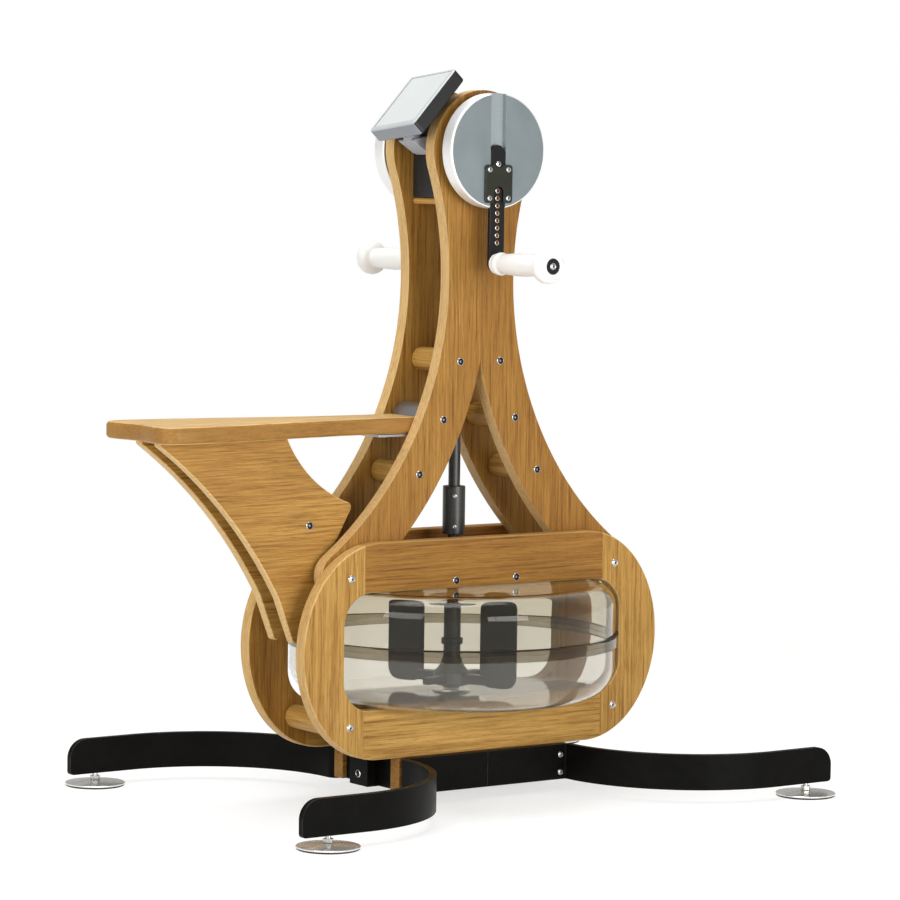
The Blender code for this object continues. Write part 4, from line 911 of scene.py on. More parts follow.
@dataclass
class SocketScrew:
    """Socket screw in a finishing ring, drawn pointing along +Z.

    Sizes are the radii of the ring, the head and the six-sided socket, the
    rises of ring and head over the face, and the dip of the socket.
    """

    bench: Bench
    ring: float = 0.0062
    ring_rise: float = 0.0015
    head: float = 0.0047
    head_rise: float = 0.0021
    socket: float = 0.0022
    socket_dip: float = 0.0015

    def turn_ring(self) -> Piece:
        """Turn the ring that the head sits in."""
        outer, top, inner = self.ring, self.ring_rise, self.head + 0.0001
        profile = [(inner, -0.0015), (outer, -0.0002), (outer, top * 0.35), (outer - top * 0.3, top * 0.85),
                   (outer - top * 0.6, top), (inner + 0.0002, top * 0.9), (inner, top * 0.6)]
        return Bench.turned("ring", profile, 32, loop=True)

    def turn_head(self) -> Piece:
        """Turn the domed head and sink its six-sided socket."""
        radius, top = self.head, self.head_rise
        soft = min(0.0009, top * 0.5)
        profile = [(0.0, -0.0015), (radius, -0.0015)]
        profile += arc((radius - soft, top - soft * 1.3), soft, 0.0, QUARTER * 0.8, 4)
        profile += [(self.socket + 0.0004, top), (0.0, top)]
        piece = Bench.turned("head", profile, 28)
        Bench.cut(piece, Bench.rod(6, self.socket, 2 * self.socket_dip, (0, 0, top)))
        return piece

    def turn_pit(self) -> Piece:
        """Turn the floor of the socket, which takes the screw's other finish: zinc in a black screw is a
        painted glint, black in a zinc screw is painted shade.
        """
        floor, reach = self.head_rise - self.socket_dip, self.socket * 0.78
        profile = [(0.0, floor), (reach, floor), (reach * 0.85, floor + 0.0002),
                   (reach * 0.4, floor + 0.0001), (0.0, floor + 0.0003)]
        return Bench.turned("pit", profile, 12)

    def row(self, name: str, places: Sequence[Sequence[float]], outward: Sequence[float],
            slot: Slot = Slot.OAK, body: str = "frame", rim: Finish = CHROME,
            core: Finish = BLACK_SCREW) -> None:
        """Set one screw at each place.

        Args:
            name: Name of the set.
            places: Points on the face, in drawing coordinates.
            outward: Direction out of the face.
            slot: Material slot of the record.
            body: CAD body that the screws ride on.
            rim: Finish of the rings.
            core: Finish of the heads.
        """
        turn = Vector((0, 0, 1)).rotation_difference(Vector(outward)).to_matrix().to_4x4()
        spots = [Matrix.Translation(place) @ turn for place in places]
        # socket floor in the other finish: painted glint in black screws, painted shade in zinc ones
        pit = BLACK_SCREW if core is ZINC else ZINC
        for label, first, finish, angle in (("rings", self.turn_ring(), rim, 50),
                                            ("heads", self.turn_head(), core, 35),
                                            ("sockets", self.turn_pit(), pit, 50)):
            self.bench.deliver(Bench.repeat(f"{name}_{label}", first, spots), finish, slot, body=body,
                               angle=angle)


@dataclass
class SidePanels:
    """Two oak panels, each of two boards, with the dowels between them."""

    bench: Bench
    inner: float = 0.0416
    outer: float = 0.0636
    crank_z: float = 0.9808
    head: float = 0.091
    waist_z: float = 0.790
    waist: float = 0.510
    notch: float = 0.575
    notch_z: float = 0.664
    foot_x: float = 0.2463
    foot_z: float = 0.3471
    edge: float = 0.0030
    seam: float = 0.0005
    left_tone: float = 0.70
    right_tone: float = 0.67
    # the back boards are this much lighter: painted light that makes up for the dimmer light behind the
    # machine
    back_lift: float = 1.18
    dowel: float = 0.018
    dowels: dict[str, Point] = field(default_factory=lambda: {
        "upper": (0.0372, 0.6637), "middle": (0.0670, 0.5766), "lower": (0.1101, 0.4955),
        "foot": (0.2463, 0.3471)})

    def outline(self) -> list[Point]:
        """Right half of a panel, from the seam round the head and the leg.

        Returns:
            The closed outline in X and Z.
        """
        seam = FIT / 2
        waist_x = math.sqrt((self.head + self.waist) ** 2 - (self.crank_z - self.waist_z) ** 2)
        notch_x = math.sqrt(self.notch ** 2 - (self.waist_z - self.notch_z) ** 2)
        low = math.atan2(self.waist_z - self.crank_z, waist_x)
        points = arc((0.0, self.crank_z), self.head, math.acos(seam / self.head), low, 48)
        drop = self.foot_z - self.waist_z
        end = math.atan2(drop, self.foot_x - waist_x) % (2 * math.pi)
        outer = arc((waist_x, self.waist_z), self.waist, low + math.pi, end, 56)
        start = math.atan2(drop, self.foot_x - notch_x) % (2 * math.pi)
        top = math.pi + math.asin((self.waist_z - self.notch_z) / self.notch)
        inner = arc((notch_x, self.waist_z), self.notch, start, top, 48)
        first, last = Vector(outer[-1]), Vector(inner[0])
        middle = (first + last) / 2
        across = first - middle
        turn = math.atan2(across.y, across.x)
        foot = arc((middle.x, middle.y), across.length, turn, turn - math.pi, 24)
        return points + outer[1:] + foot[1:-1] + inner[:-1] + [(seam, self.notch_z)]

    def at_seam(self, a: Vector, b: Vector) -> bool:
        """Whether an edge between two points belongs to the glued seam."""
        return abs(a.x) < self.seam or abs(b.x) < self.seam and a.z == b.z

    def build(self) -> None:
        """Build the four boards, their screws and the dowels."""
        for side in Side:
            for end in End:
                name = f"side_panel_{side.word}_{end.word}"
                board = Bench.upright_board(name + "_oak", mirrored(self.outline(), end),
                                            side * self.inner, side * self.outer)
                Bench.round_edges(board, self.edge, 4, keep=self.at_seam)
                # Back boards get the lighter tone, painted light; narrow faces get the lighter edge copy of
                # the oak, painted highlight.
                tone = self.left_tone if end is End.LEFT else self.right_tone
                oak = Oak(f"oak_panel_{side.word}_{end.word}", grain=Grain.UPRIGHT, figure=0.30,
                          tone=tone * (self.back_lift if side is Side.BACK else 1.0),
                          offset=(0.17 * end, 0.05 + 0.013 * end, 0.021 * side))
                self.bench.deliver(board, oak, node=name, edges=oak.edge())
            places = [(end * x, side * self.outer, z)
                      for kind, (x, z) in self.dowels.items() if kind != "foot" for end in End]
            SocketScrew(self.bench).row(f"panel_screws_{side.word}", places, (0, side, 0))
        for end in End:
            for kind, (x, z) in self.dowels.items():
                self.bench.dowel(f"panel_dowel_{kind}_{end.word}", self.dowel, self.inner - FIT,
                                 (end * x, 0.0, z))


@dataclass
class TankRings:
    """Two oak rings round the tank, each of two rails and two end blocks."""

    bench: Bench
    inner_y: float = 0.0639
    outer_y: float = 0.0868
    bottom: float = 0.0736
    height: float = 0.3254
    length: float = 0.660
    end_depth: float = 0.136
    rail: float = 0.0748
    end_width: float = 0.073
    corner: float = 0.048
    joint: float = 0.222
    bolt_x: float = 0.2463
    bolt_rise: float = 0.1108
    mid_bolt: Point = (0.0562, 0.3355)
    edge: float = 0.0030
    top_tone: float = 0.65
    bottom_tone: float = 1.02
    end_tone: float = 0.97
    # share of the tone kept on the faces that look at the tank: painted shade
    inside: float = 0.78
    dowel: float = 0.018

    def __post_init__(self) -> None:
        """Work out the middle line, and where the outer and inner bends begin."""
        self.middle = self.bottom + self.height / 2
        self.outer_bend = self.length / 2 - self.end_depth
        self.inner_bend = self.length / 2 - self.end_width - self.corner

    def outer_half(self, x: float) -> float:
        """Half of the outer height at a distance from the middle."""
        past = max(0.0, abs(x) - self.outer_bend)
        return self.height / 2 * math.sqrt(max(0.0, 1 - (past / self.end_depth) ** 2))

    def inner_half(self, x: float) -> float:
        """Half of the opening's height at a distance from the middle."""
        past = max(0.0, abs(x) - self.inner_bend)
        return self.height / 2 - self.rail - (self.corner - math.sqrt(self.corner ** 2 - past ** 2))

    def rail_outline(self, sign: int) -> list[Point]:
        """Top or bottom rail.

        Args:
            sign: 1 for the top rail, -1 for the bottom rail.

        Returns:
            The closed outline in X and Z.
        """
        reach = self.joint - FIT / 2
        outer = [-reach + (reach - self.outer_bend) * k / 6 for k in range(7)]
        outer += [-x for x in reversed(outer)]
        inner = [reach - (reach - self.inner_bend) * k / 5 for k in range(6)]
        inner += [-x for x in reversed(inner)]
        points = [(x, self.middle + sign * self.outer_half(x)) for x in outer]
        return points + [(x, self.middle + sign * self.inner_half(x)) for x in inner]

    def end_outline(self) -> list[Point]:
        """Right end block.

        Returns:
            The closed outline in X and Z.
        """
        reach = self.joint + FIT / 2
        bend, corner = self.outer_bend, self.inner_bend
        rise = self.height / 2 - self.rail - self.corner
        turn = math.acos((reach - bend) / self.end_depth)
        circle = arc((0.0, 0.0), 1.0, turn, -turn, 80)
        points = [(bend + self.end_depth * u, self.middle + self.height / 2 * v) for u, v in circle]
        inner = math.acos((reach - corner) / self.corner)
        points += arc((corner, self.middle - rise), self.corner, -inner, 0.0, 16)
        return points + arc((corner, self.middle + rise), self.corner, 0.0, inner, 16)

    def at_joint(self, a: Vector, b: Vector) -> bool:
        """Whether an edge between two points lies in a joint's face."""
        return all(abs(abs(point.x) - self.joint) < 0.0004 for point in (a, b))

    def build_board(self, node: str, outline: Sequence[Point], side: Side, oak: Oak, edges: Oak) -> None:
        """Cut one board, dress it and paint shade on the face that looks at the tank with a darker copy of
        its oak.

        Args:
            node: CAD node that it stands for.
            outline: Its closed outline in X and Z.
            side: Side of the machine.
            oak: Its finish.
            edges: Finish of its narrow faces.
        """
        board = Bench.upright_board(node + "_oak", outline, side * self.inner_y,
                                    side * self.outer_y)
        Bench.round_edges(board, self.edge, 4, keep=self.at_joint)
        self.bench.deliver(board, oak, node=node, edges=edges)
        # Faces that look at the tank take a darker copy of the oak: painted shade inside the ring.
        self.bench.coat(board, replace(oak, name=oak.name + "_inside", tone=oak.tone * self.inside))
        for face in board.data.polygons:
            if face.normal.y * side < -FACING:
                face.material_index = 2

    def build(self) -> None:
        """Build the rings' boards, the screws and the lower dowels."""
        for side in Side:
            # Narrow faces of each board take a lighter copy of its oak: painted highlight.
            for word, sign, tone in (("top", 1, self.top_tone), ("bottom", -1, self.bottom_tone)):
                oak = Oak(f"oak_{word}_rail_{side.word}", tone=tone, figure=0.30,
                          offset=(0.4 * sign, 0.03 * side, -0.236 - 0.07 * sign))
                self.build_board(f"ring_{word}_rail_{side.word}", self.rail_outline(sign), side, oak,
                                 oak.edge(1.2, 0.15))
            for end in End:
                oak = Oak(f"oak_ring_{end.word}_{side.word}", grain=Grain.UPRIGHT, tone=self.end_tone,
                          figure=0.55, offset=(0.1 * end, 0.02 * side, 0.29 * end))
                self.build_board(f"ring_{end.word}_end_{side.word}", mirrored(self.end_outline(), end),
                                 side, oak, oak.edge(1.15, 0.35))
            y, out, screw = side * self.outer_y, (0, side, 0), SocketScrew(self.bench)
            corners = [(end * self.bolt_x, y, self.middle + sign * self.bolt_rise)
                       for end in End for sign in (-1, 1)]
            screw.row(f"ring_corner_screws_{side.word}", corners, out, core=ZINC)
            mids = [(end * self.mid_bolt[0], y, self.mid_bolt[1]) for end in End]
            screw.row(f"ring_middle_screws_{side.word}", mids, out)
        for end in End:
            self.bench.dowel(f"ring_dowel_{end.word}", self.dowel, self.inner_y - FIT,
                             (end * self.bolt_x, 0.0, self.middle - self.bolt_rise))


@dataclass
class Base:
    """Oak rails, the welded frame, bent legs and levelling feet."""

    bench: Bench
    rail_low: float = 0.022
    rail_high: float = 0.0733
    rail_half: float = 0.157
    rail_inner: float = 0.0639
    rail_outer: float = 0.0868
    leg_y: float = 0.0921
    leg_thick: float = 0.010
    leg_low: float = 0.019
    root_x: float = 0.154
    bend: float = 0.008
    sweep: float = 0.222
    reach: float = 0.488
    end_top: float = 0.029
    end_bottom: float = 0.006
    foot_x: float = 0.4415
    foot_radius: float = 0.046
    stud_bore: float = 0.0047
    stud_top: float = 0.047
    screw_x: float = 0.1385

    def __post_init__(self) -> None:
        """Work out the bar's straight root, its whole length and the feet's distance."""
        self.straight = self.root_x - self.bend - FIT / 2
        self.tail = self.reach - self.root_x - self.sweep
        self.total = self.straight + (self.bend + self.sweep) * QUARTER + self.tail
        self.foot_y = self.leg_y + self.bend + self.sweep

    def leg_path(self, distance: float) -> tuple[Vector, Vector]:
        """Where the bar's centreline runs in plan.

        Args:
            distance: Distance along the bar from the middle of the machine.

        Returns:
            The point, and the direction to the bar's left.
        """
        if distance <= self.straight:
            return Vector((FIT / 2 + distance, self.leg_y)), Vector((0.0, 1.0))
        distance -= self.straight
        if distance <= self.bend * QUARTER:
            angle = distance / self.bend - QUARTER
            out = Vector((math.cos(angle), math.sin(angle)))
            centre = Vector((self.root_x - self.bend, self.leg_y + self.bend))
            return centre + self.bend * out, -out
        distance -= self.bend * QUARTER
        if distance <= self.sweep * QUARTER:
            angle = math.pi - distance / self.sweep
            out = Vector((math.cos(angle), math.sin(angle)))
            centre = Vector((self.root_x + self.sweep, self.leg_y + self.bend))
            return centre + self.sweep * out, out
        distance -= self.sweep * QUARTER
        return Vector((self.root_x + self.sweep + distance, self.foot_y)), Vector((0.0, 1.0))

    def leg_heights(self, left: float) -> Point:
        """Lower and upper edge of the bar, which is round at its end.

        Args:
            left: Distance from the bar's end.

        Returns:
            The two heights.
        """
        low, high = self.leg_low, self.rail_high
        if left < self.end_top:
            high -= self.end_top - math.sqrt(max(0.0, self.end_top ** 2 - (self.end_top - left) ** 2))
        if left < self.end_bottom:
            low += self.end_bottom - math.sqrt(
                max(0.0, self.end_bottom ** 2 - (self.end_bottom - left) ** 2))
        return low, high

    def leg(self, name: str, side: Side, end: End) -> Piece:
        """Draw the bar flat, round its edges, bend it to its path and bore it for the stud.

        Args:
            name: Name of the piece.
            side: Side of the machine.
            end: End of the machine.

        Returns:
            The bar with its two finishes.
        """
        bent = self.straight + self.bend * QUARTER
        stops = [self.straight * k / 6 for k in range(6)]
        stops += [self.straight + self.bend * QUARTER * k / 8 for k in range(8)]
        stops += [bent + self.sweep * QUARTER * k / 60 for k in range(60)]
        stops += [self.total - self.tail + (self.tail - self.end_top) * k / 4 for k in range(4)]
        stops += [self.total - self.end_top * (1 - math.sin(QUARTER * k / 14)) for k in range(15)]
        Bench.clear()
        bpy.ops.mesh.primitive_grid_add(x_subdivisions=len(stops) - 1, y_subdivisions=1, size=2.0)
        bar = bpy.context.object
        bar.name = name
        columns = sorted({round(vertex.co.x, 5) for vertex in bar.data.vertices})
        for vertex in bar.data.vertices:
            stop = stops[columns.index(round(vertex.co.x, 5))]
            low, high = self.leg_heights(self.total - stop)
            vertex.co = Vector((stop, -self.leg_thick / 2, high if vertex.co.y > 0 else low))
        Bench.point_outwards(bar, (0, self.leg_thick, 0))
        # The rounded edges take the lighter black: painted highlight along the bar's edges.
        self.bench.coat(bar, SATIN_BLACK, EDGE_HIGHLIGHT_BLACK)
        Bench.round_edges(bar, 0.0010, 2, paint=1)
        for vertex in bar.data.vertices:
            spot, left = self.leg_path(min(max(vertex.co.x, 0.0), self.total))
            spot = spot + left * vertex.co.y
            vertex.co = Vector((end * spot.x, side * spot.y, vertex.co.z))
        Bench.point_outwards(bar)
        Bench.cut(bar, Bench.rod(20, self.stud_bore, self.stud_top, (
            end * self.foot_x, side * self.foot_y, self.stud_top / 2)))
        return bar

    def build_foot(self, side: Side, end: End) -> None:
        """Build one levelling foot: pad, rubber sole, nut and threaded stud.

        Args:
            side: Side of the machine.
            end: End of the machine.
        """
        label = f"foot_{side.word}_{end.word}"
        centre = (end * self.foot_x, side * self.foot_y, 0.0)
        radius = self.foot_radius
        pad = Bench.turned(label + "_pad", [
            (0.0, 0.0022), (radius - 0.0012, 0.0022), (radius, 0.0028), (radius, 0.0042),
            (radius - 0.0008, 0.0050), (radius - 0.004, 0.0056), (0.014, 0.0083), (0.0, 0.0085)], 72, centre)
        sole = Bench.turned(label + "_sole", [
            (0.0, 0.0), (radius - 0.0022, 0.0), (radius - 0.0010, 0.0008), (radius - 0.0010, 0.0021),
            (0.0, 0.0021)], 72, centre)
        nut = Bench.rod(6, 0.0078, 0.0062, (centre[0], centre[1], 0.0121))
        nut.name = label + "_nut"
        bpy.ops.object.transform_apply(location=True, rotation=True, scale=True)
        Bench.round_edges(nut, 0.0006, 2)
        threads = [(0.0, 0.0080)]
        for turn in range(14):
            base = 0.0085 + turn * 0.0025
            threads += [(0.0040, base), (0.0044, base + 0.0009), (0.0040, base + 0.0018)]
        stud = Bench.turned(label + "_stud", threads + [(0.0, 0.0445)], 20, centre)
        for piece, finish, node, angle in ((pad, FOOT_STEEL, label, 28), (sole, RUBBER, "", 30),
                                           (nut, ZINC, "", 30), (stud, ZINC, "", 60)):
            self.bench.deliver(piece, finish, Slot.CHROME, node, "levelling_" + label, angle)

    def build(self) -> None:
        """Build the whole base."""
        screws = SocketScrew(self.bench, ring=0.0046, ring_rise=0.0010, head=0.0034, head_rise=0.0016,
                             socket=0.0018, socket_dip=0.0011)
        for side in Side:
            node = f"base_rail_{side.word}"
            rail = Bench.box(node + "_oak", (-self.rail_half, side * self.rail_inner, self.rail_low),
                             (self.rail_half, side * self.rail_outer, self.rail_high), 0.0015)
            oak = Oak("oak_" + node, tone=0.66, offset=(0.2, 0.01 * side, 0.0))
            self.bench.deliver(rail, oak, node=node)
            for end in End:
                name = f"leg_{side.word}_{end.word}"
                self.bench.deliver(self.leg(name + "_bar", side, end), SATIN_BLACK, Slot.BLACK_STEEL, name)
                self.build_foot(side, end)
            face = side * (self.leg_y + self.leg_thick / 2)
            places = [(end * self.screw_x, face, z) for end in End for z in (0.057, 0.030)]
            screws.row(f"leg_screws_{side.word}", places, (0, side, 0), Slot.BLACK_STEEL, rim=ZINC,
                       core=ZINC)
        self.build_frame()

    def build_frame(self) -> None:
        """Weld the centre beam, its end plates and the cross bars into one."""
        low, top = self.rail_low, self.rail_high
        beam = Bench.box("base_frame_steel", (-0.163, -0.024, low), (0.163, 0.024, top), 0.002)
        Bench.cut(beam, Bench.box("hollow", (-0.1625, -0.021, 0.0), (0.1625, 0.021, top - 0.003), 0.002))
        half = self.rail_inner - 2 * FIT
        for end in End:
            x = end * 0.146
            Bench.fuse(beam, Bench.box("bar", (x - 0.004, -half, low + FIT), (x + 0.004, half, top - FIT),
                                       0.0008, 2))
            x = end * 0.1665
            Bench.fuse(beam, Bench.box("plate", (x - 0.0045, -0.0239, low + 0.0001),
                                       (x + 0.0045, 0.0239, top - 0.0001), 0.0012, 2))
        self.bench.deliver(beam, SATIN_BLACK, Slot.BLACK_STEEL, "base_frame", angle=35)
        for end in End:
            SocketScrew(self.bench).row(f"end_plate_screw_{end.word}", [(end * 0.171, 0.0, 0.040)],
                                        (end, 0, 0), Slot.BLACK_STEEL)


@dataclass
class Tank:
    """Clear bowl and lid with the seam band between them."""

    bench: Bench
    radius: float = 0.250
    wall: float = 0.004
    bottom: float = 0.1487
    height: float = 0.1752
    lower_corner: float = 0.050
    upper_corner: float = 0.034
    seam_rise: float = 0.089
    collar: float = 0.255
    collar_height: float = 0.018
    collar_edge: float = 0.0015
    bore: float = 0.0095

    def bowl(self, seam: float) -> list[Point]:
        """Profile of the bowl.

        Args:
            seam: Height of the seam.

        Returns:
            Radii and heights, open at the axis.
        """
        flat = self.radius - self.lower_corner
        bend = self.bottom + self.lower_corner
        profile = [(0.0, self.bottom)] + arc((flat, bend), self.lower_corner, -QUARTER, 0.0, 20)
        profile += [(self.radius, seam), (self.radius - self.wall, seam)]
        profile += arc((flat, bend), self.lower_corner - self.wall, 0.0, -QUARTER, 20)
        return profile + [(0.030, self.bottom + self.wall), (0.026, self.bottom + self.wall + 0.004),
                          (0.0, self.bottom + self.wall + 0.004)]

    def lid(self, seam: float) -> list[Point]:
        """Profile of the lid.

        Args:
            seam: Height of the seam.

        Returns:
            Radii and heights, as a loop round the shaft's bore.
        """
        top = self.bottom + self.height
        under = top - self.wall
        flat = self.radius - self.upper_corner
        bend = top - self.upper_corner
        profile = [(self.radius, seam + 2 * FIT)] + arc((flat, bend), self.upper_corner, 0.0, QUARTER, 16)
        profile += [(self.bore, top), (self.bore, under - 0.004), (0.016, under - 0.004), (0.018, under)]
        profile += arc((flat, bend), self.upper_corner - self.wall, QUARTER, 0.0, 16)
        return profile + [(self.radius - self.wall, seam + 2 * FIT)]

    def build(self) -> None:
        """Turn the bowl, the lid, the band and the seal."""
        seam = self.bottom + self.seam_rise
        low, high = seam - self.collar_height / 2, seam + self.collar_height / 2
        inner, outer, edge = self.radius + 2 * FIT, self.collar, self.collar_edge
        band = [(inner, low), (outer - edge, low), (outer, low + edge), (outer, high - edge),
                (outer - edge, high), (inner, high)]
        seat = self.radius + FIT
        seal = [(outer - edge, high), (outer - 0.0002, high), (outer, high + 0.0004),
                (outer - 0.0002, high + 0.0008), (seat, high + 0.0008), (seat, high)]
        for name, profile, finish, node in (("tank_bowl_clear", self.bowl(seam), TANK_BOWL, "tank_bowl"),
                                            ("tank_lid_clear", self.lid(seam), TANK_LID, "tank_lid"),
                                            ("tank_seam_band", band, TANK_BAND, ""),
                                            ("tank_seal", seal, SEAL_BLACK, "")):
            piece = Bench.turned(name, profile, 128, loop=node != "tank_bowl")
            self.bench.deliver(piece, finish, Slot.TANK, node, angle=30)


@dataclass
class Paddle:
    """Shaft end, hub, two blades and two stirring vanes in the tank."""

    bench: Bench
    angle: float = math.radians(-70)
    shaft: float = 0.013
    hub: float = 0.028
    blade_in: float = 0.053
    blade_out: float = 0.118
    blade_low: float = 0.1637
    blade_high: float = 0.3089
    disc_low: float = 0.2949
    disc_high: float = 0.2979
    disc: float = 0.036
    blade_thick: float = 0.006
    corner: float = 0.018

    def spoke(self, reach: Point, width: Point, heights: Point, turn: float) -> Piece:
        """Tapered arm that reaches out from the hub.

        Args:
            reach: Radii of its root and tip.
            width: Half widths at its root and tip.
            heights: Its lower and upper face.
            turn: Direction in plan.

        Returns:
            The arm with rounded edges.
        """
        (near, far), (wide, slim) = reach, width
        arm = Bench.flat_board("spoke", [(near, -wide), (far, -slim), (far, slim), (near, wide)], *heights)
        Bench.round_edges(arm, 0.0018, 3)
        arm.data.transform(Matrix.Rotation(turn, 4, "Z"))
        return arm

    def build(self) -> None:
        """Build the paddle as one piece."""
        low, thin, hub, disc = self.blade_low, self.shaft, self.hub, self.disc
        under, over = self.disc_low, self.disc_high
        profile = [(0.0, 0.1583), (thin - 0.001, 0.1583), (thin, 0.1593), (thin, low), (hub - 0.003, low),
                   (hub, low + 0.003), (hub, low + 0.020), (hub - 0.006, low + 0.026),
                   (thin + 0.004, low + 0.034), (thin, low + 0.046), (thin, 0.226),
                   (thin + 0.0035, 0.2275), (thin + 0.0035, 0.236), (thin, 0.2375), (thin, under - 0.004),
                   (thin + 0.003, under), (disc - 0.001, under), (disc, under + 0.001),
                   (disc, over - 0.001), (disc - 0.001, over), (0.0115, over), (0.009, over + 0.004),
                   (0.009, 0.4327), (0.0, 0.4327)]
        paddle = Bench.turned("paddle_moulding", profile, 48)
        half = self.blade_thick / 2
        square = [(self.blade_in, low), (self.blade_out, low), (self.blade_out, self.blade_high),
                  (self.blade_in, self.blade_high)]
        for turn in (self.angle, self.angle + math.pi):
            Bench.fuse(paddle, self.spoke((0.010, self.blade_in + 0.014), (0.013, 0.008),
                                          (low + 0.004, low + 0.019), turn))
            Bench.fuse(paddle, self.spoke((0.011, 0.070), (0.011, 0.006), (low + 0.006, low + 0.017),
                                          turn + QUARTER))
            blade = Bench.upright_board("blade", rounded(square, self.corner * 1.3, 10), -half, half)
            Bench.round_edges(blade, 0.0016, 2)
            blade.data.transform(Matrix.Rotation(turn, 4, "Z"))
            Bench.fuse(paddle, blade)
        self.bench.deliver(paddle, PADDLE_DARK, Slot.PLASTIC, "paddle", "drive", 35)


@dataclass
class Drive:
    """Coupling on the upright shaft, and the block that steadies it."""

    bench: Bench
    bore: float = 0.0093
    radius: float = 0.01725
    low: float = 0.396
    high: float = 0.470
    edge: float = 0.0012
    screw_turn: float = math.radians(-30)

    def build(self) -> None:
        """Build the coupling, its set screws and the bridge block."""
        low, high, radius, edge = self.low, self.high, self.radius, self.edge
        profile = [(self.bore, low), (radius - edge, low), (radius - edge * 0.3, low + edge * 0.3),
                   (radius, low + edge), (radius, high - edge), (radius - edge * 0.3, high - edge * 0.3),
                   (radius - edge, high), (self.bore, high)]
        sleeve = Bench.turned("shaft_coupling_sleeve", profile, 48, loop=True)
        self.bench.deliver(sleeve, SHAFT_DARK, Slot.DARK_PLATE, "shaft_coupling", "drive", 30)
        screws = SocketScrew(self.bench, ring=0.0030, ring_rise=0.0005, head=0.0022, head_rise=0.0008,
                             socket=0.0012, socket_dip=0.0006)
        turn = Matrix.Rotation(self.screw_turn, 4, "Z")
        places = [tuple(turn @ Vector((0.0, 0.0001 - radius, z))) for z in (0.4554, 0.4085)]
        screws.row("coupling_set_screws", places, tuple(turn @ Vector((0, -1, 0))), Slot.DARK_PLATE,
                   "drive", ZINC, ZINC)
        block = Bench.box("shaft_bridge_oak", (-0.075, -0.0633, 0.3246), (0.075, 0.0633, 0.3474), 0.002)
        Bench.cut(block, Bench.rod(48, 0.0095, 0.05, (0, 0, 0.336)))
        self.bench.deliver(block, Oak("oak_bridge", tone=0.72, offset=(0.6, 0.0, 0.0)), node="shaft_bridge")


@dataclass
class Gearbox:
    """Housing between the panel heads and the shelf under it."""

    bench: Bench
    half_x: float = 0.056
    half_y: float = 0.0413
    low: float = 0.909
    high: float = 1.036

    def build(self) -> None:
        """Build the housing with its slots, and the shelf."""
        box = Bench.box("gearbox_housing_case", (-self.half_x, -self.half_y, self.low),
                        (self.half_x, self.half_y, self.high), 0.003, 4)
        for end in End:
            x = end * self.half_x
            for y in (-0.026, -0.013, 0.0, 0.013, 0.026):
                Bench.cut(box, Bench.box("slot", (x - 0.0008, y - 0.0012, self.low + 0.008),
                                         (x + 0.0008, y + 0.0012, self.low + 0.056), 0.0003, 1))
        self.bench.deliver(box, HOUSING_DARK, Slot.PLASTIC, "gearbox_housing")
        top = self.low - FIT
        shelf = Bench.box("gearbox_shelf_oak", (-self.half_x, -self.half_y, top - 0.0095),
                          (self.half_x, self.half_y, top), 0.004, 4)
        Bench.cut(shelf, Bench.rod(40, 0.011, 0.04, (0, 0, top)))
        self.bench.deliver(shelf, Oak("oak_shelf", grain=Grain.ACROSS, offset=(0.5, 0.0, 0.0)),
                           node="gearbox_shelf")


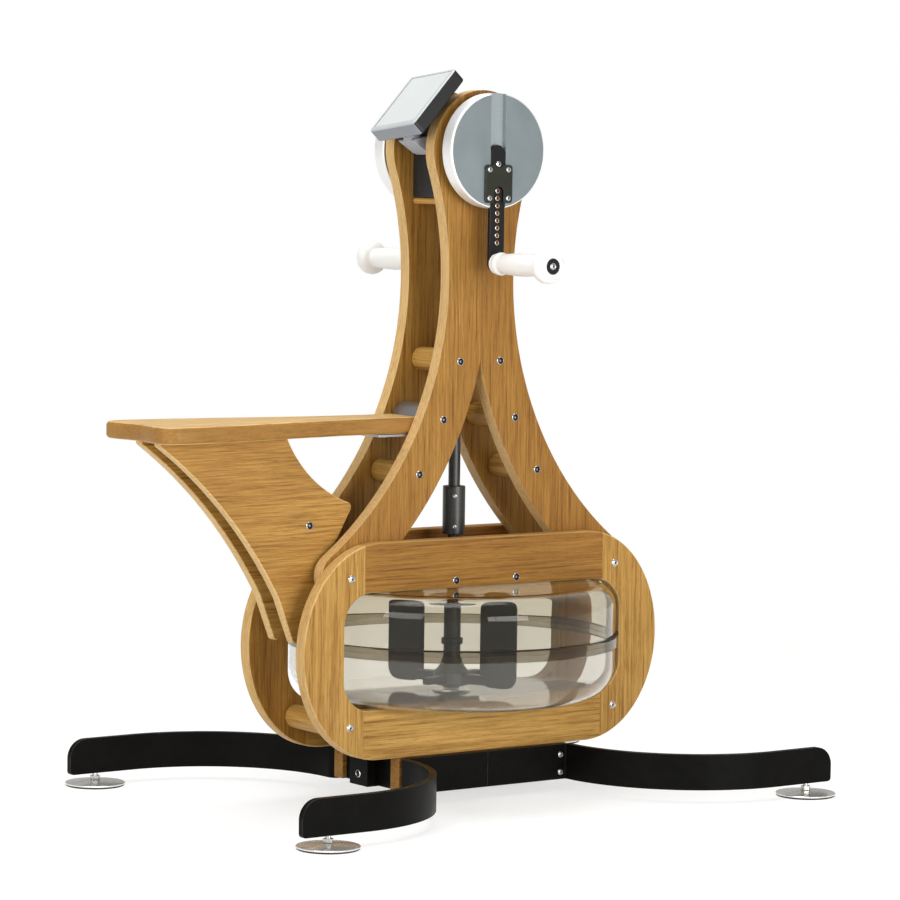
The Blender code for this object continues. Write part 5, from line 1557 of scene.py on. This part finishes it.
@dataclass
class Crank:
    """Slotted discs, clamp plates, arms and grips on the crank shaft."""

    bench: Bench
    z: float = 0.9808
    bore: float = 0.0103
    back: float = 0.0762
    face: float = 0.1016
    radius: float = 0.0865
    rim_width: float = 0.0032
    groove: float = 0.028
    groove_depth: float = 0.007
    plate_thick: float = 0.003
    arm_width: float = 0.027
    arm_top: float = 0.9896
    handle_z: float = 0.8119
    stop_z: float = 0.961
    grip_start: float = 0.1058
    grip_end: float = 0.2428
    hole_first: float = 0.0314
    hole_pitch: float = 0.0111
    holes: int = 8

    def dress_disc(self, disc: Piece) -> None:
        """Give a disc its finishes: satin face, bright rim, and in the groove a lighter copy of the disc
        metal, painted highlight on its walls and floor.
        """
        self.bench.coat(disc, DISC_FACE, DISC_RIM, GROOVE_HIGHLIGHT)
        for face in disc.data.polygons:
            middle = face.center
            reach = math.hypot(middle.x, middle.z - self.z)
            sunk = abs(middle.x) < self.groove / 2 + 0.0008 and abs(middle.y) < self.face - 0.0001
            if reach > self.radius - self.rim_width * 0.85:
                face.material_index = 1
            # Groove faces take the lighter metal: painted highlight.
            elif sunk and abs(middle.y) > self.face - self.groove_depth - 0.0005:
                face.material_index = 2

    def off_groove(self, a: Vector, b: Vector) -> bool:
        """Whether an edge between two points isn't one of the groove's on the disc's face."""
        return not all(abs(abs(point.x) - self.groove / 2) < 1e-4 and abs(abs(point.y) - self.face) < 1e-4
                       for point in (a, b))

    def build(self) -> None:
        """Build both ends of the crank, and finish the CAD's own shafts and gear."""
        for side in Side:
            self.build_disc(side)
            self.build_plate(side)
            self.build_arm(side)
            self.build_fittings(side)
            self.build_grip(side)
        for name, finish in (("crank_shaft", STEEL), ("crank_gear", STEEL), ("drive_shaft", SHAFT_DARK)):
            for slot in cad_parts[name].material_slots:
                slot.material = self.bench.paints.get(finish)

    def build_disc(self, side: Side) -> None:
        """Turn a disc, mill its groove, and turn the bearing behind it.

        Args:
            side: Side of the machine.
        """
        centre, out = (0.0, 0.0, self.z), (0, side, 0)
        rim = self.rim_width
        profile = [(self.bore, self.back)]
        profile += arc((self.radius - rim, self.back + rim), rim, -QUARTER, 0.0, 6)
        profile += arc((self.radius - rim, self.face - rim), rim, 0.0, QUARTER, 6) + [(self.bore, self.face)]
        disc = Bench.turned(f"crank_disc_{side.word}_turned", profile, 144, centre, out, loop=True)
        half = self.groove / 2
        mill = Bench.box("mill", (-half, side * (self.face - self.groove_depth), self.z - 0.1),
                         (half, side * (self.face + 0.004), self.z + 0.1), 0.0)
        Bench.cut(disc, mill)
        Bench.round_edges(disc, 0.0006, 2, keep=self.off_groove)
        self.dress_disc(disc)
        self.bench.deliver(disc, DISC_FACE, Slot.DISC, f"crank_disc_{side.word}", "crank", 30)
        bearing = Bench.turned(f"crank_bearing_{side.word}_turned", [
            (self.bore, 0.0419), (0.0177, 0.0419), (0.0177, 0.0639), (0.0290, 0.0639), (0.0300, 0.0649),
            (0.0300, 0.0729), (0.0285, 0.0745), (0.0180, 0.0745), (0.0170, 0.0735), (self.bore, 0.0735)],
            64, centre, out, loop=True)
        self.bench.deliver(bearing, STEEL, Slot.SHAFT, f"crank_bearing_{side.word}", angle=30)

    def build_plate(self, side: Side) -> None:
        """Cut the clamp plate and set its four screws.

        Args:
            side: Side of the machine.
        """
        half, top, bottom, slot, dip = 0.025, 0.960, 0.903, 0.009, 0.004
        corner, slot_z, dip_radius = 0.005, 0.9276, 0.0087
        spread = math.acos((dip_radius - dip) / dip_radius)
        right = [(slot, bottom)] + arc((half - corner, bottom + corner), corner, -QUARTER, 0.0, 8)
        right += arc((half - corner, top - corner), corner, 0.0, QUARTER, 8)
        right += arc((0.0, top - dip + dip_radius), dip_radius, spread - QUARTER, -QUARTER, 10)
        left = [(-x, z) for x, z in reversed(right[:-1])]
        outline = right + left + arc((0.0, slot_z - slot), slot, math.pi, 0.0, 20)
        near = self.face + FIT
        y = side * (near + self.plate_thick)
        plate = Bench.upright_board(f"clamp_plate_{side.word}_cut", outline, side * near, y)
        Bench.round_edges(plate, 0.0007, 2)
        self.bench.deliver(plate, PLATE_DARK, Slot.DARK_PLATE, f"clamp_plate_{side.word}", "crank", 35)
        screws = SocketScrew(self.bench, ring=0.0043, ring_rise=0.0007, head=0.0034, head_rise=0.0012,
                             socket=0.0019, socket_dip=0.0009)
        places = [(x, y, z) for x in (-0.0172, 0.0172) for z in (0.9528, 0.9100)]
        screws.row(f"clamp_screws_{side.word}", places, (0, side, 0), Slot.DARK_PLATE, "crank",
                   STEEL, ZINC)

    def build_arm(self, side: Side) -> None:
        """Mill the arm with its row of holes, and line the holes.

        Args:
            side: Side of the machine.
        """
        half, body = self.arm_width / 2, f"arm_{side.word}"
        outline = arc((0.0, self.arm_top - half), half, 0.0, math.pi, 24)
        outline += arc((0.0, self.handle_z), half, math.pi, 2 * math.pi, 24)
        low, high = self.face - self.groove_depth + FIT, self.face - FIT
        arm = Bench.upright_board(f"crank_arm_{side.word}_bar", outline, side * low, side * high)
        Bench.round_edges(arm, 0.0010, 2)
        rises = [self.handle_z + self.hole_first + index * self.hole_pitch for index in range(self.holes)]
        for z in rises:
            Bench.cut(arm, Bench.rod(24, 0.00285, 0.03, (0, side * (low + high) / 2, z), lying=True))
        self.bench.deliver(arm, ARM_BLACK, Slot.ARM_STEEL, f"crank_arm_{side.word}", body, 35)
        liner = Bench.turned("liner", [
            (0.0020, low + 0.0010), (0.0029, low + 0.0010), (0.0029, high), (0.0037, high),
            (0.0037, high + 0.0001), (0.0033, high + 0.0003), (0.0026, high + 0.0003),
            (0.0020, high - 0.0006)], 24, (0, 0, 0), (0, side, 0), loop=True)
        liners = Bench.repeat(f"crank_arm_liners_{side.word}", liner,
                              [Matrix.Translation((0, 0, z)) for z in rises])
        self.bench.deliver(liners, INSERT_WARM, Slot.ARM_STEEL, body=body)

    def build_fittings(self, side: Side) -> None:
        """Turn the grip's collar, axle and cap on the arm, and set the arm's two screws.

        Args:
            side: Side of the machine.
        """
        high, end, body, out = self.face - FIT, self.grip_end, f"arm_{side.word}", (0, side, 0)
        collar = [(0.0062, high), (0.0146, high), (0.0153, high + 0.0007), (0.0153, high + 0.0036),
                  (0.0146, high + 0.0043), (0.0062, high + 0.0043)]
        axle = [(0.0, high - 0.002), (0.006, high - 0.002), (0.006, end - 0.0030), (0.0, end - 0.0030)]
        cap = [(0.0055, end - 0.0029), (0.0117, end - 0.0029), (0.0117, end - 0.0008), (0.0109, end),
               (0.0063, end), (0.0055, end - 0.0006)]
        for name, profile, steps, finish, angle in (("grip_collar", collar, 48, GRIP_WHITE, 35),
                                                    ("crank_axle", axle, 40, STEEL, 30),
                                                    ("grip_cap", cap, 56, BLACK_SCREW, 30)):
            piece = Bench.turned(f"{name}_{side.word}", profile, steps, (0, 0, self.handle_z), out,
                                 loop=name != "crank_axle")
            self.bench.deliver(piece, finish, Slot.ARM_STEEL, body=body, angle=angle)
        centre = SocketScrew(self.bench, ring=0.0053, ring_rise=0.0010, head=0.0040, head_rise=0.0014,
                             socket=0.0022, socket_dip=0.0011)
        stop = SocketScrew(self.bench, ring=0.0047, ring_rise=0.0030, head=0.0036, head_rise=0.0034,
                           socket=0.0020, socket_dip=0.0016)
        centre.row(f"grip_screw_{side.word}", [(0.0, side * (end - 0.0016), self.handle_z)], out,
                   Slot.ARM_STEEL, body, core=ZINC)
        stop.row(f"stop_screw_{side.word}", [(0.0, side * high, self.stop_z)], out, Slot.ARM_STEEL,
                 body, core=ZINC)

    def build_grip(self, side: Side) -> None:
        """Turn a grip: a bead at the arm, a swelling body, a neck and a round bulb.

        Args:
            side: Side of the machine.
        """
        start, end = self.grip_start, self.grip_end
        bead, bead_edge, neck, swell, bore, recess = 0.0174, 0.0070, 0.0142, 0.0030, 0.0064, 0.0121
        bulb, wide, long, middle = 0.02625, 0.0120, 0.0130, end - 0.0142
        profile = [(bore, start), (bead - bead_edge, start)]
        profile += arc((bead - bead_edge, start + bead_edge), bead_edge, 0.2 - QUARTER, 0.9, 14)
        first, last = start + 0.0150, end - 0.0290
        for step in range(25):
            share = step / 24
            profile.append((neck + swell * math.sin(math.pi * share) ** 0.6, first + (last - first) * share))
        profile.append((neck + 0.0004, end - 0.0278))
        for step in range(19):
            angle = -1.40 + step * 0.139
            profile.append((bulb - wide * (1 - math.cos(angle)), middle + long * math.sin(angle)))
        profile += [(0.0185, end - 0.0006), (recess + 0.0008, end - 0.0003), (recess, end - 0.0010),
                    (recess, end - 0.0033), (bore, end - 0.0033)]
        grip = Bench.turned(f"grip_{side.word}_turned", profile, 64, (0, 0, self.handle_z),
                            (0, side, 0), loop=True)
        self.bench.deliver(grip, GRIP_WHITE, Slot.GRIP, f"grip_{side.word}", f"handle_{side.word}")


@dataclass
class Seat:
    """Oak seat board, two wing brackets and the hook over the dowel."""

    bench: Bench
    top: float = 0.5806
    thick: float = 0.025
    end_x: float = -0.573
    dip: float = 0.008
    half: float = 0.093
    corner: float = 0.028
    neck: float = 0.0405
    taper: Point = (-0.545, -0.163)
    dowel_radius: float = 0.018
    wing_inner: float = 0.017
    wing_outer: float = 0.034
    heel_x: float = -0.547
    hollow: Point = (-0.427, 0.441)
    sweep_end: Point = (-0.3205, 0.279)
    nose: Point = (-0.2135, 0.4435)
    foot_dowel: Point = (-0.2463, 0.3471)
    foot_start: float = 0.318
    foot_tip: Point = (-0.3098, 0.2560)
    foot_round: float = 0.0064
    wing_bolt: Point = (-0.287, 0.424)
    hook_x: float = -0.0893
    dowel: Point = (-0.0670, 0.5766)
    hook_inner: float = 0.0183
    hook_outer: float = 0.0223
    hook_reach: float = 0.078

    @property
    def under(self) -> float:
        """Height just under the seat board."""
        return self.top - self.thick - FIT

    def seat_outline(self) -> list[Point]:
        """Broad and slightly hollow at the user's end, narrow between the panels.

        Returns:
            The closed outline in X and Y.
        """
        near = [(self.hook_x - FIT, -self.neck)]
        start, stop = self.taper
        for step in range(36, 0, -1):
            share = step / 36
            ease = share * share * (3 - 2 * share)
            near.append((start + (stop - start) * share, -(self.half + (self.neck - self.half) * ease)))
        corner = arc((self.end_x + self.corner, self.corner - self.half), self.corner, math.pi,
                     3 * QUARTER, 14)
        near += reversed(corner)
        reach = self.half - self.corner
        for step in range(1, 12):
            y = reach * (2 * step / 23 - 1)
            near.append((self.end_x + self.dip * (1 + math.cos(math.pi * y / reach)) / 2, y))
        far = [(x, -y) for x, y in reversed(near)]
        return list(reversed(near + far))

    def bracket_outline(self) -> list[Point]:
        """Wing with a hollow outer edge and a round foot; it leans on the foot dowel.

        Returns:
            The closed outline in X and Z.
        """
        top, nose = self.under, Vector(self.nose)
        towards = Vector(self.foot_dowel) - nose
        lean = math.asin((self.dowel_radius + FIT) / towards.length)
        direction = math.atan2(towards.y, towards.x) - lean
        knee_z = self.foot_dowel[1]
        knee_x = nose.x + (knee_z - nose.y) * math.cos(direction) / math.sin(direction)
        sweep = arc_through((self.heel_x, top - 0.006), self.hollow, self.sweep_end, 40)
        outline = [(self.heel_x, top)] + [(x, z) for x, z in sweep if z > self.foot_start]
        outline += arc(self.foot_tip, self.foot_round, math.radians(192), math.radians(335), 10)
        outline += [(knee_x, knee_z), self.nose, (-0.2115, 0.4495)]
        return outline + arc_through((-0.2155, 0.4555), (-0.2696, 0.484), (-0.327, top), 28)

    def hook_outline(self) -> list[Point]:
        """Bent strip under the seat, up its end and over the dowel.

        Returns:
            The closed outline in X and Z.
        """
        x, z = self.dowel
        inner, outer, top = self.hook_inner, self.hook_outer, self.under
        strip = outer - inner
        outline = [(x - outer - self.hook_reach, top - strip), (x - inner, top - strip)]
        outline += arc((x, z), inner, math.pi, 0.0, 32)
        outline += [(x + inner, z - 0.008), (x + outer, z - 0.008)]
        outline += arc((x, z), outer, 0.0, math.pi, 32)
        return outline + [(x - outer, top), (x - outer - self.hook_reach, top)]

    def build(self) -> None:
        """Build the seat board, the brackets and the hook with its screws."""
        board = Bench.flat_board("seat_board_oak", self.seat_outline(), self.top - self.thick, self.top)
        Bench.round_edges(board, 0.0065, 5)
        # The top keeps the pale oak and the narrow faces take a darker copy of it: painted shade on the
        # sides.
        oak = Oak("oak_seat", tone=1.34, paling=0.58, figure=0.25, offset=(0.0, 0.02, -0.50))
        self.bench.deliver(board, oak, node="seat_board", angle=50, edges=oak.edge(0.50, 0.06), flat=2)
        for side in Side:
            node, y = f"seat_bracket_{side.word}", side * self.wing_outer
            wing = Bench.upright_board(node + "_oak", self.bracket_outline(), side * self.wing_inner, y)
            Bench.round_edges(wing, 0.0028, 4)
            oak = Oak(f"oak_bracket_{side.word}", tone=0.86, tilt=0.55,
                      offset=(0.3, 0.02 * side, -0.41))
            # Narrow faces take the lighter edge copy of the oak: painted highlight.
            self.bench.deliver(wing, oak, node=node, edges=oak.edge())
            SocketScrew(self.bench).row(f"bracket_screw_{side.word}",
                                        [(self.wing_bolt[0], y, self.wing_bolt[1])], (0, side, 0))
        hook = Bench.upright_board("seat_hook_bent", self.hook_outline(), -0.038, 0.038)
        Bench.round_edges(hook, 0.0009, 2)
        self.bench.deliver(hook, HOOK_GREY, Slot.GREY, "seat_hook", angle=35)
        low = self.under - 0.004
        places = [(x, y, low) for x in (-0.150, -0.110) for y in (-0.024, 0.024)]
        SocketScrew(self.bench, ring=0.0055, head=0.0042).row("hook_screws", places, (0, 0, -1), Slot.GREY)


@dataclass
class Monitor:
    """Small monitor on its hinge and curved arm."""

    bench: Bench
    pivot: Spot = (-0.0954, -0.0043, 1.0089)
    yaw: float = 0.10
    tilt: float = 0.772
    roll: float = 0.143
    width: float = 0.1165
    height: float = 0.1184
    thick: float = 0.0235
    shift: float = 0.012
    depth: float = 0.0088
    rise: float = 0.027
    frame_side: float = 0.0072
    frame_foot: float = 0.0088
    frame_brow: float = 0.0052

    def __post_init__(self) -> None:
        """Work out the frame of the hinge: X across, Y up the screen, Z out of it."""
        out = Vector((-math.cos(self.tilt) * math.cos(self.yaw),
                      math.cos(self.tilt) * math.sin(self.yaw), math.sin(self.tilt)))
        level = Vector((0, 0, 1)).cross(out).normalized()
        up = out.cross(level)
        self.across = math.cos(self.roll) * level + math.sin(self.roll) * up
        self.up = math.cos(self.roll) * up - math.sin(self.roll) * level
        self.out = out
        turn = Matrix((self.across, self.up, out)).transposed().to_4x4()
        self.hinge = Matrix.Translation(self.pivot) @ turn

    def slab(self, name: str, low: Point, high: Point, depths: Point, corner: float) -> Piece:
        """Rounded slab in the monitor's own frame.

        Args:
            name: Name of the piece.
            low: Lower left corner.
            high: Upper right corner.
            depths: Back and front along the screen's outward direction.
            corner: Radius of its corners.

        Returns:
            The slab with square edges.
        """
        square = [low, (high[0], low[1]), high, (low[0], high[1])]
        return Bench.board(name, rounded(square, corner * 1.3, 8),
                           lambda u, v, w: self.hinge @ Vector((u, v, w)), *depths)

    def build(self) -> None:
        """Build the case, the screen and the arm."""
        left, right = self.shift - self.width / 2, self.shift + self.width / 2
        low, high = -self.rise, self.height - self.rise
        back, face = self.depth, self.depth + self.thick
        case = self.slab("monitor_case_shell", (left, low), (right, high), (back, face), 0.006)
        Bench.round_edges(case, 0.0030, 4)
        box = self.slab("box", (-0.034, 0.016), (0.034, 0.072), (back - 0.007, back + 0.002), 0.004)
        Bench.round_edges(box, 0.0012, 2)
        Bench.fuse(case, box)
        ear = [(0.008, back + 0.002), (-0.008, back + 0.002)]
        ear += arc((0.0, 0.0), 0.008, math.pi, 2 * math.pi, 20)
        for sign in (-1, 1):
            Bench.fuse(case, Bench.board("ear", ear, lambda u, v, w: self.hinge @ Vector((w, u, v)),
                                         sign * 0.0115, sign * 0.0175))
        left, right = left + self.frame_side, right - self.frame_side
        low, high = low + self.frame_foot, high - self.frame_brow
        Bench.cut(case, self.slab("window", (left, low), (right, high), (face - 0.0015, face + 0.003), 0.003))
        self.bench.coat(case, CASE_BLACK, CASE_GREY, SCREEN_FRAME)
        for polygon in case.data.polygons:
            ahead = (polygon.center - self.hinge.translation).dot(self.out)
            if polygon.normal.dot(self.out) > 0.3 and ahead > face - 0.003:
                polygon.material_index = 2
            elif polygon.normal.dot(-self.up) > 0.7:
                polygon.material_index = 1
        self.bench.deliver(case, CASE_BLACK, Slot.PLASTIC, "monitor_case", "monitor", 35)
        screen = self.slab("monitor_screen_glass", (left + FIT, low + FIT), (right - FIT, high - FIT),
                           (face - 0.0012, face - FIT), 0.003)
        Bench.round_edges(screen, 0.0002, 1)
        self.bench.deliver(screen, LCD, Slot.SCREEN, "monitor_screen", "monitor", 35)
        self.build_arm()

    def build_arm(self) -> None:
        """Build the curved arm with its hinge barrel and pin."""
        x, y, z = self.pivot
        low, wall, slim = z - 0.0352, -0.056 - FIT, 0.009
        body = [(wall, z - 0.006), (x + 0.015, z - 0.009), (x, z - 0.012), (x - 0.0035, z - 0.015),
                (x + 0.023, low + 0.003), (x + 0.031, low), (wall, low + 0.001)]
        arm = Bench.upright_board("monitor_arm_cast", rounded(body, 0.006, 6), -0.020, 0.020)
        Bench.round_edges(arm, 0.0022, 3)
        neck = [(x - 0.0033, z - 0.0155), (x - 0.0074, z), (x + 0.0074, z), (x + 0.017, z - 0.010),
                (x + 0.012, z - 0.020)]
        Bench.fuse(arm, Bench.upright_board("tongue", neck, y - slim, y + slim))
        barrel = [(0.0, -0.0112), (0.0072, -0.0112), (0.008, -0.0104), (0.008, 0.0104), (0.0072, 0.0112),
                  (0.0, 0.0112)]
        pin = [(0.0, -0.0172), (0.003, -0.0172), (0.003, 0.0172), (0.0, 0.0172)]
        for name, profile, steps in (("barrel", barrel, 40), ("pin", pin, 24)):
            Bench.fuse(arm, Bench.turned(name, profile, steps, self.pivot, self.across))
        self.bench.deliver(arm, ARM_GREY, Slot.GREY, "monitor_arm")


@dataclass
class Studio:
    """White floor, soft lamps, pale world and the photograph's camera."""

    lens: float = 153.181
    yaw: float = 0.623136
    pitch: float = 0.074943
    roll: float = 0.013584
    distance: float = 5.846569
    target: Spot = (-0.008692, 0.0, 0.524867)
    floor_z: float = -0.0002
    floor_size: float = 60.0
    lamp_size: float = 2.4

    def camera(self) -> None:
        """Set the camera up where the photograph was taken from."""
        sin_yaw, cos_yaw = math.sin(self.yaw), math.cos(self.yaw)
        ahead = Vector((sin_yaw * math.cos(self.pitch), cos_yaw * math.cos(self.pitch),
                        -math.sin(self.pitch)))
        level = Vector((cos_yaw, -sin_yaw, 0.0))
        above = level.cross(ahead)
        right = math.cos(self.roll) * level + math.sin(self.roll) * above
        up = -math.sin(self.roll) * level + math.cos(self.roll) * above
        turn = Matrix((right, up, -ahead)).transposed().to_4x4()
        place = Vector(self.target) + Vector((SHIFT, 0.0, 0.0)) - ahead * self.distance
        data = bpy.data.cameras.new("camera")
        data.lens = self.lens
        data.sensor_width = 36.0
        data.sensor_fit = "HORIZONTAL"
        data.clip_end = 60.0
        camera = bpy.data.objects.new("camera", data)
        bpy.context.scene.collection.objects.link(camera)
        camera.matrix_world = Matrix.Translation(place) @ turn
        bpy.context.scene.camera = camera

    def lamp(self, name: str, place: Spot, aim: Spot, power: float) -> None:
        """Add a soft square lamp.

        Args:
            name: Name of the lamp.
            place: Where it stands.
            aim: Point that it shines at.
            power: Its power in watts.
        """
        data = bpy.data.lights.new(name, "AREA")
        data.size = self.lamp_size
        data.energy = power
        lamp = bpy.data.objects.new(name, data)
        bpy.context.scene.collection.objects.link(lamp)
        lamp.location = place
        direction = Vector(aim) - Vector(place)
        lamp.rotation_euler = direction.to_track_quat("-Z", "Y").to_euler()

    @staticmethod
    def either(tree: Tree, first: Socket, second: Socket) -> Socket:
        """Add a node for the larger of two values, and return that value."""
        return wired(tree, "Math", first, second, operation="MAXIMUM").outputs[0]

    @staticmethod
    def through_glass(tree: Tree, path: Node) -> Socket:
        """Whether the camera looks through glass, without a matt surface on the way.

        Args:
            tree: Node tree to add to.
            path: Its Light Path node.

        Returns:
            1 where it does, else 0.
        """
        matt = wired(tree, "Math", path.outputs["Diffuse Depth"], operation="LESS_THAN")
        matt.inputs[1].default_value = 0.5
        both = wired(tree, "Math", matt.outputs[0], path.outputs["Is Transmission Ray"],
                     operation="MULTIPLY")
        return both.outputs[0]

    def floor(self) -> None:
        """Lay the pale floor, white to the camera, with the machine's shadow."""
        Bench.clear()
        bpy.ops.mesh.primitive_plane_add(size=self.floor_size, location=(0, 0, self.floor_z))
        plane = bpy.context.object
        plane.name = "floor"
        material = bpy.data.materials.new("floor_white")
        material.use_nodes = True
        tree = material.node_tree
        tree.nodes.clear()
        path = wired(tree, "LightPath")
        plain = wired(tree, "BsdfDiffuse", color=(0.80, 0.80, 0.79, 1.0))
        soft = wired(tree, "BsdfDiffuse", color=(0.42, 0.42, 0.42, 1.0))
        glow = wired(tree, "Emission", color=(1.0, 0.998, 0.99, 1.0), strength=0.66)
        shown = wired(tree, "AddShader", soft.outputs[0], glow.outputs[0])
        direct = self.either(tree, path.outputs["Is Camera Ray"], path.outputs["Is Glossy Ray"])
        seen = self.either(tree, direct, self.through_glass(tree, path))
        where = wired(tree, "TexCoord")
        reach = wired(tree, "VectorMath", where.outputs["Object"], operation="LENGTH")
        far = wired(tree, "MapRange", reach.outputs["Value"], from_min=1.1, from_max=2.4)
        white = wired(tree, "Emission")
        fade = wired(tree, "MixShader", far.outputs["Result"], shown.outputs[0], white.outputs[0])
        mix = wired(tree, "MixShader", seen, plain.outputs[0], fade.outputs[0])
        wired(tree, "OutputMaterial", mix.outputs[0])
        plane.data.materials.append(material)

    def world(self) -> None:
        """Light evenly from all round, and show white to the camera."""
        world = bpy.data.worlds.new("studio")
        world.use_nodes = True
        bpy.context.scene.world = world
        tree = world.node_tree
        sky = tree.nodes["Background"]
        settle(sky, color=(1.0, 0.99, 0.97, 1.0), strength=0.36)
        white = wired(tree, "Background", color=(1.0, 1.0, 1.0, 1.0), strength=1.0)
        path = wired(tree, "LightPath")
        seen = self.either(tree, path.outputs["Is Camera Ray"], self.through_glass(tree, path))
        mix = wired(tree, "MixShader", seen, sky.outputs[0], white.outputs[0])
        tree.links.new(mix.outputs[0], tree.nodes["World Output"].inputs["Surface"])

    def build(self) -> None:
        """Build the whole studio."""
        self.camera()
        self.floor()
        self.world()
        self.lamp("key", (-4.4, -1.6, 1.7), (0.0, 0.0, 0.50), 97.0)
        self.lamp("front", (0.3, -4.6, 0.7), (0.1, 0.0, 0.35), 138.0)
        self.lamp("top", (-0.2, 0.2, 3.6), (-0.1, 0.0, 0.3), 82.0)
        bpy.context.scene.view_settings.view_transform = "Standard"


def main() -> None:
    """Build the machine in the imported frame."""
    logging.basicConfig(level=logging.INFO, format="%(name)s: %(message)s")
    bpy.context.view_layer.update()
    Studio().build()
    bench = Bench()
    for assembly in (SidePanels, TankRings, Base, Tank, Paddle, Drive, Gearbox, Crank, Seat, Monitor):
        LOG.info("building %s", assembly.__name__)
        assembly(bench).build()


if __name__ == "__main__":
    main()
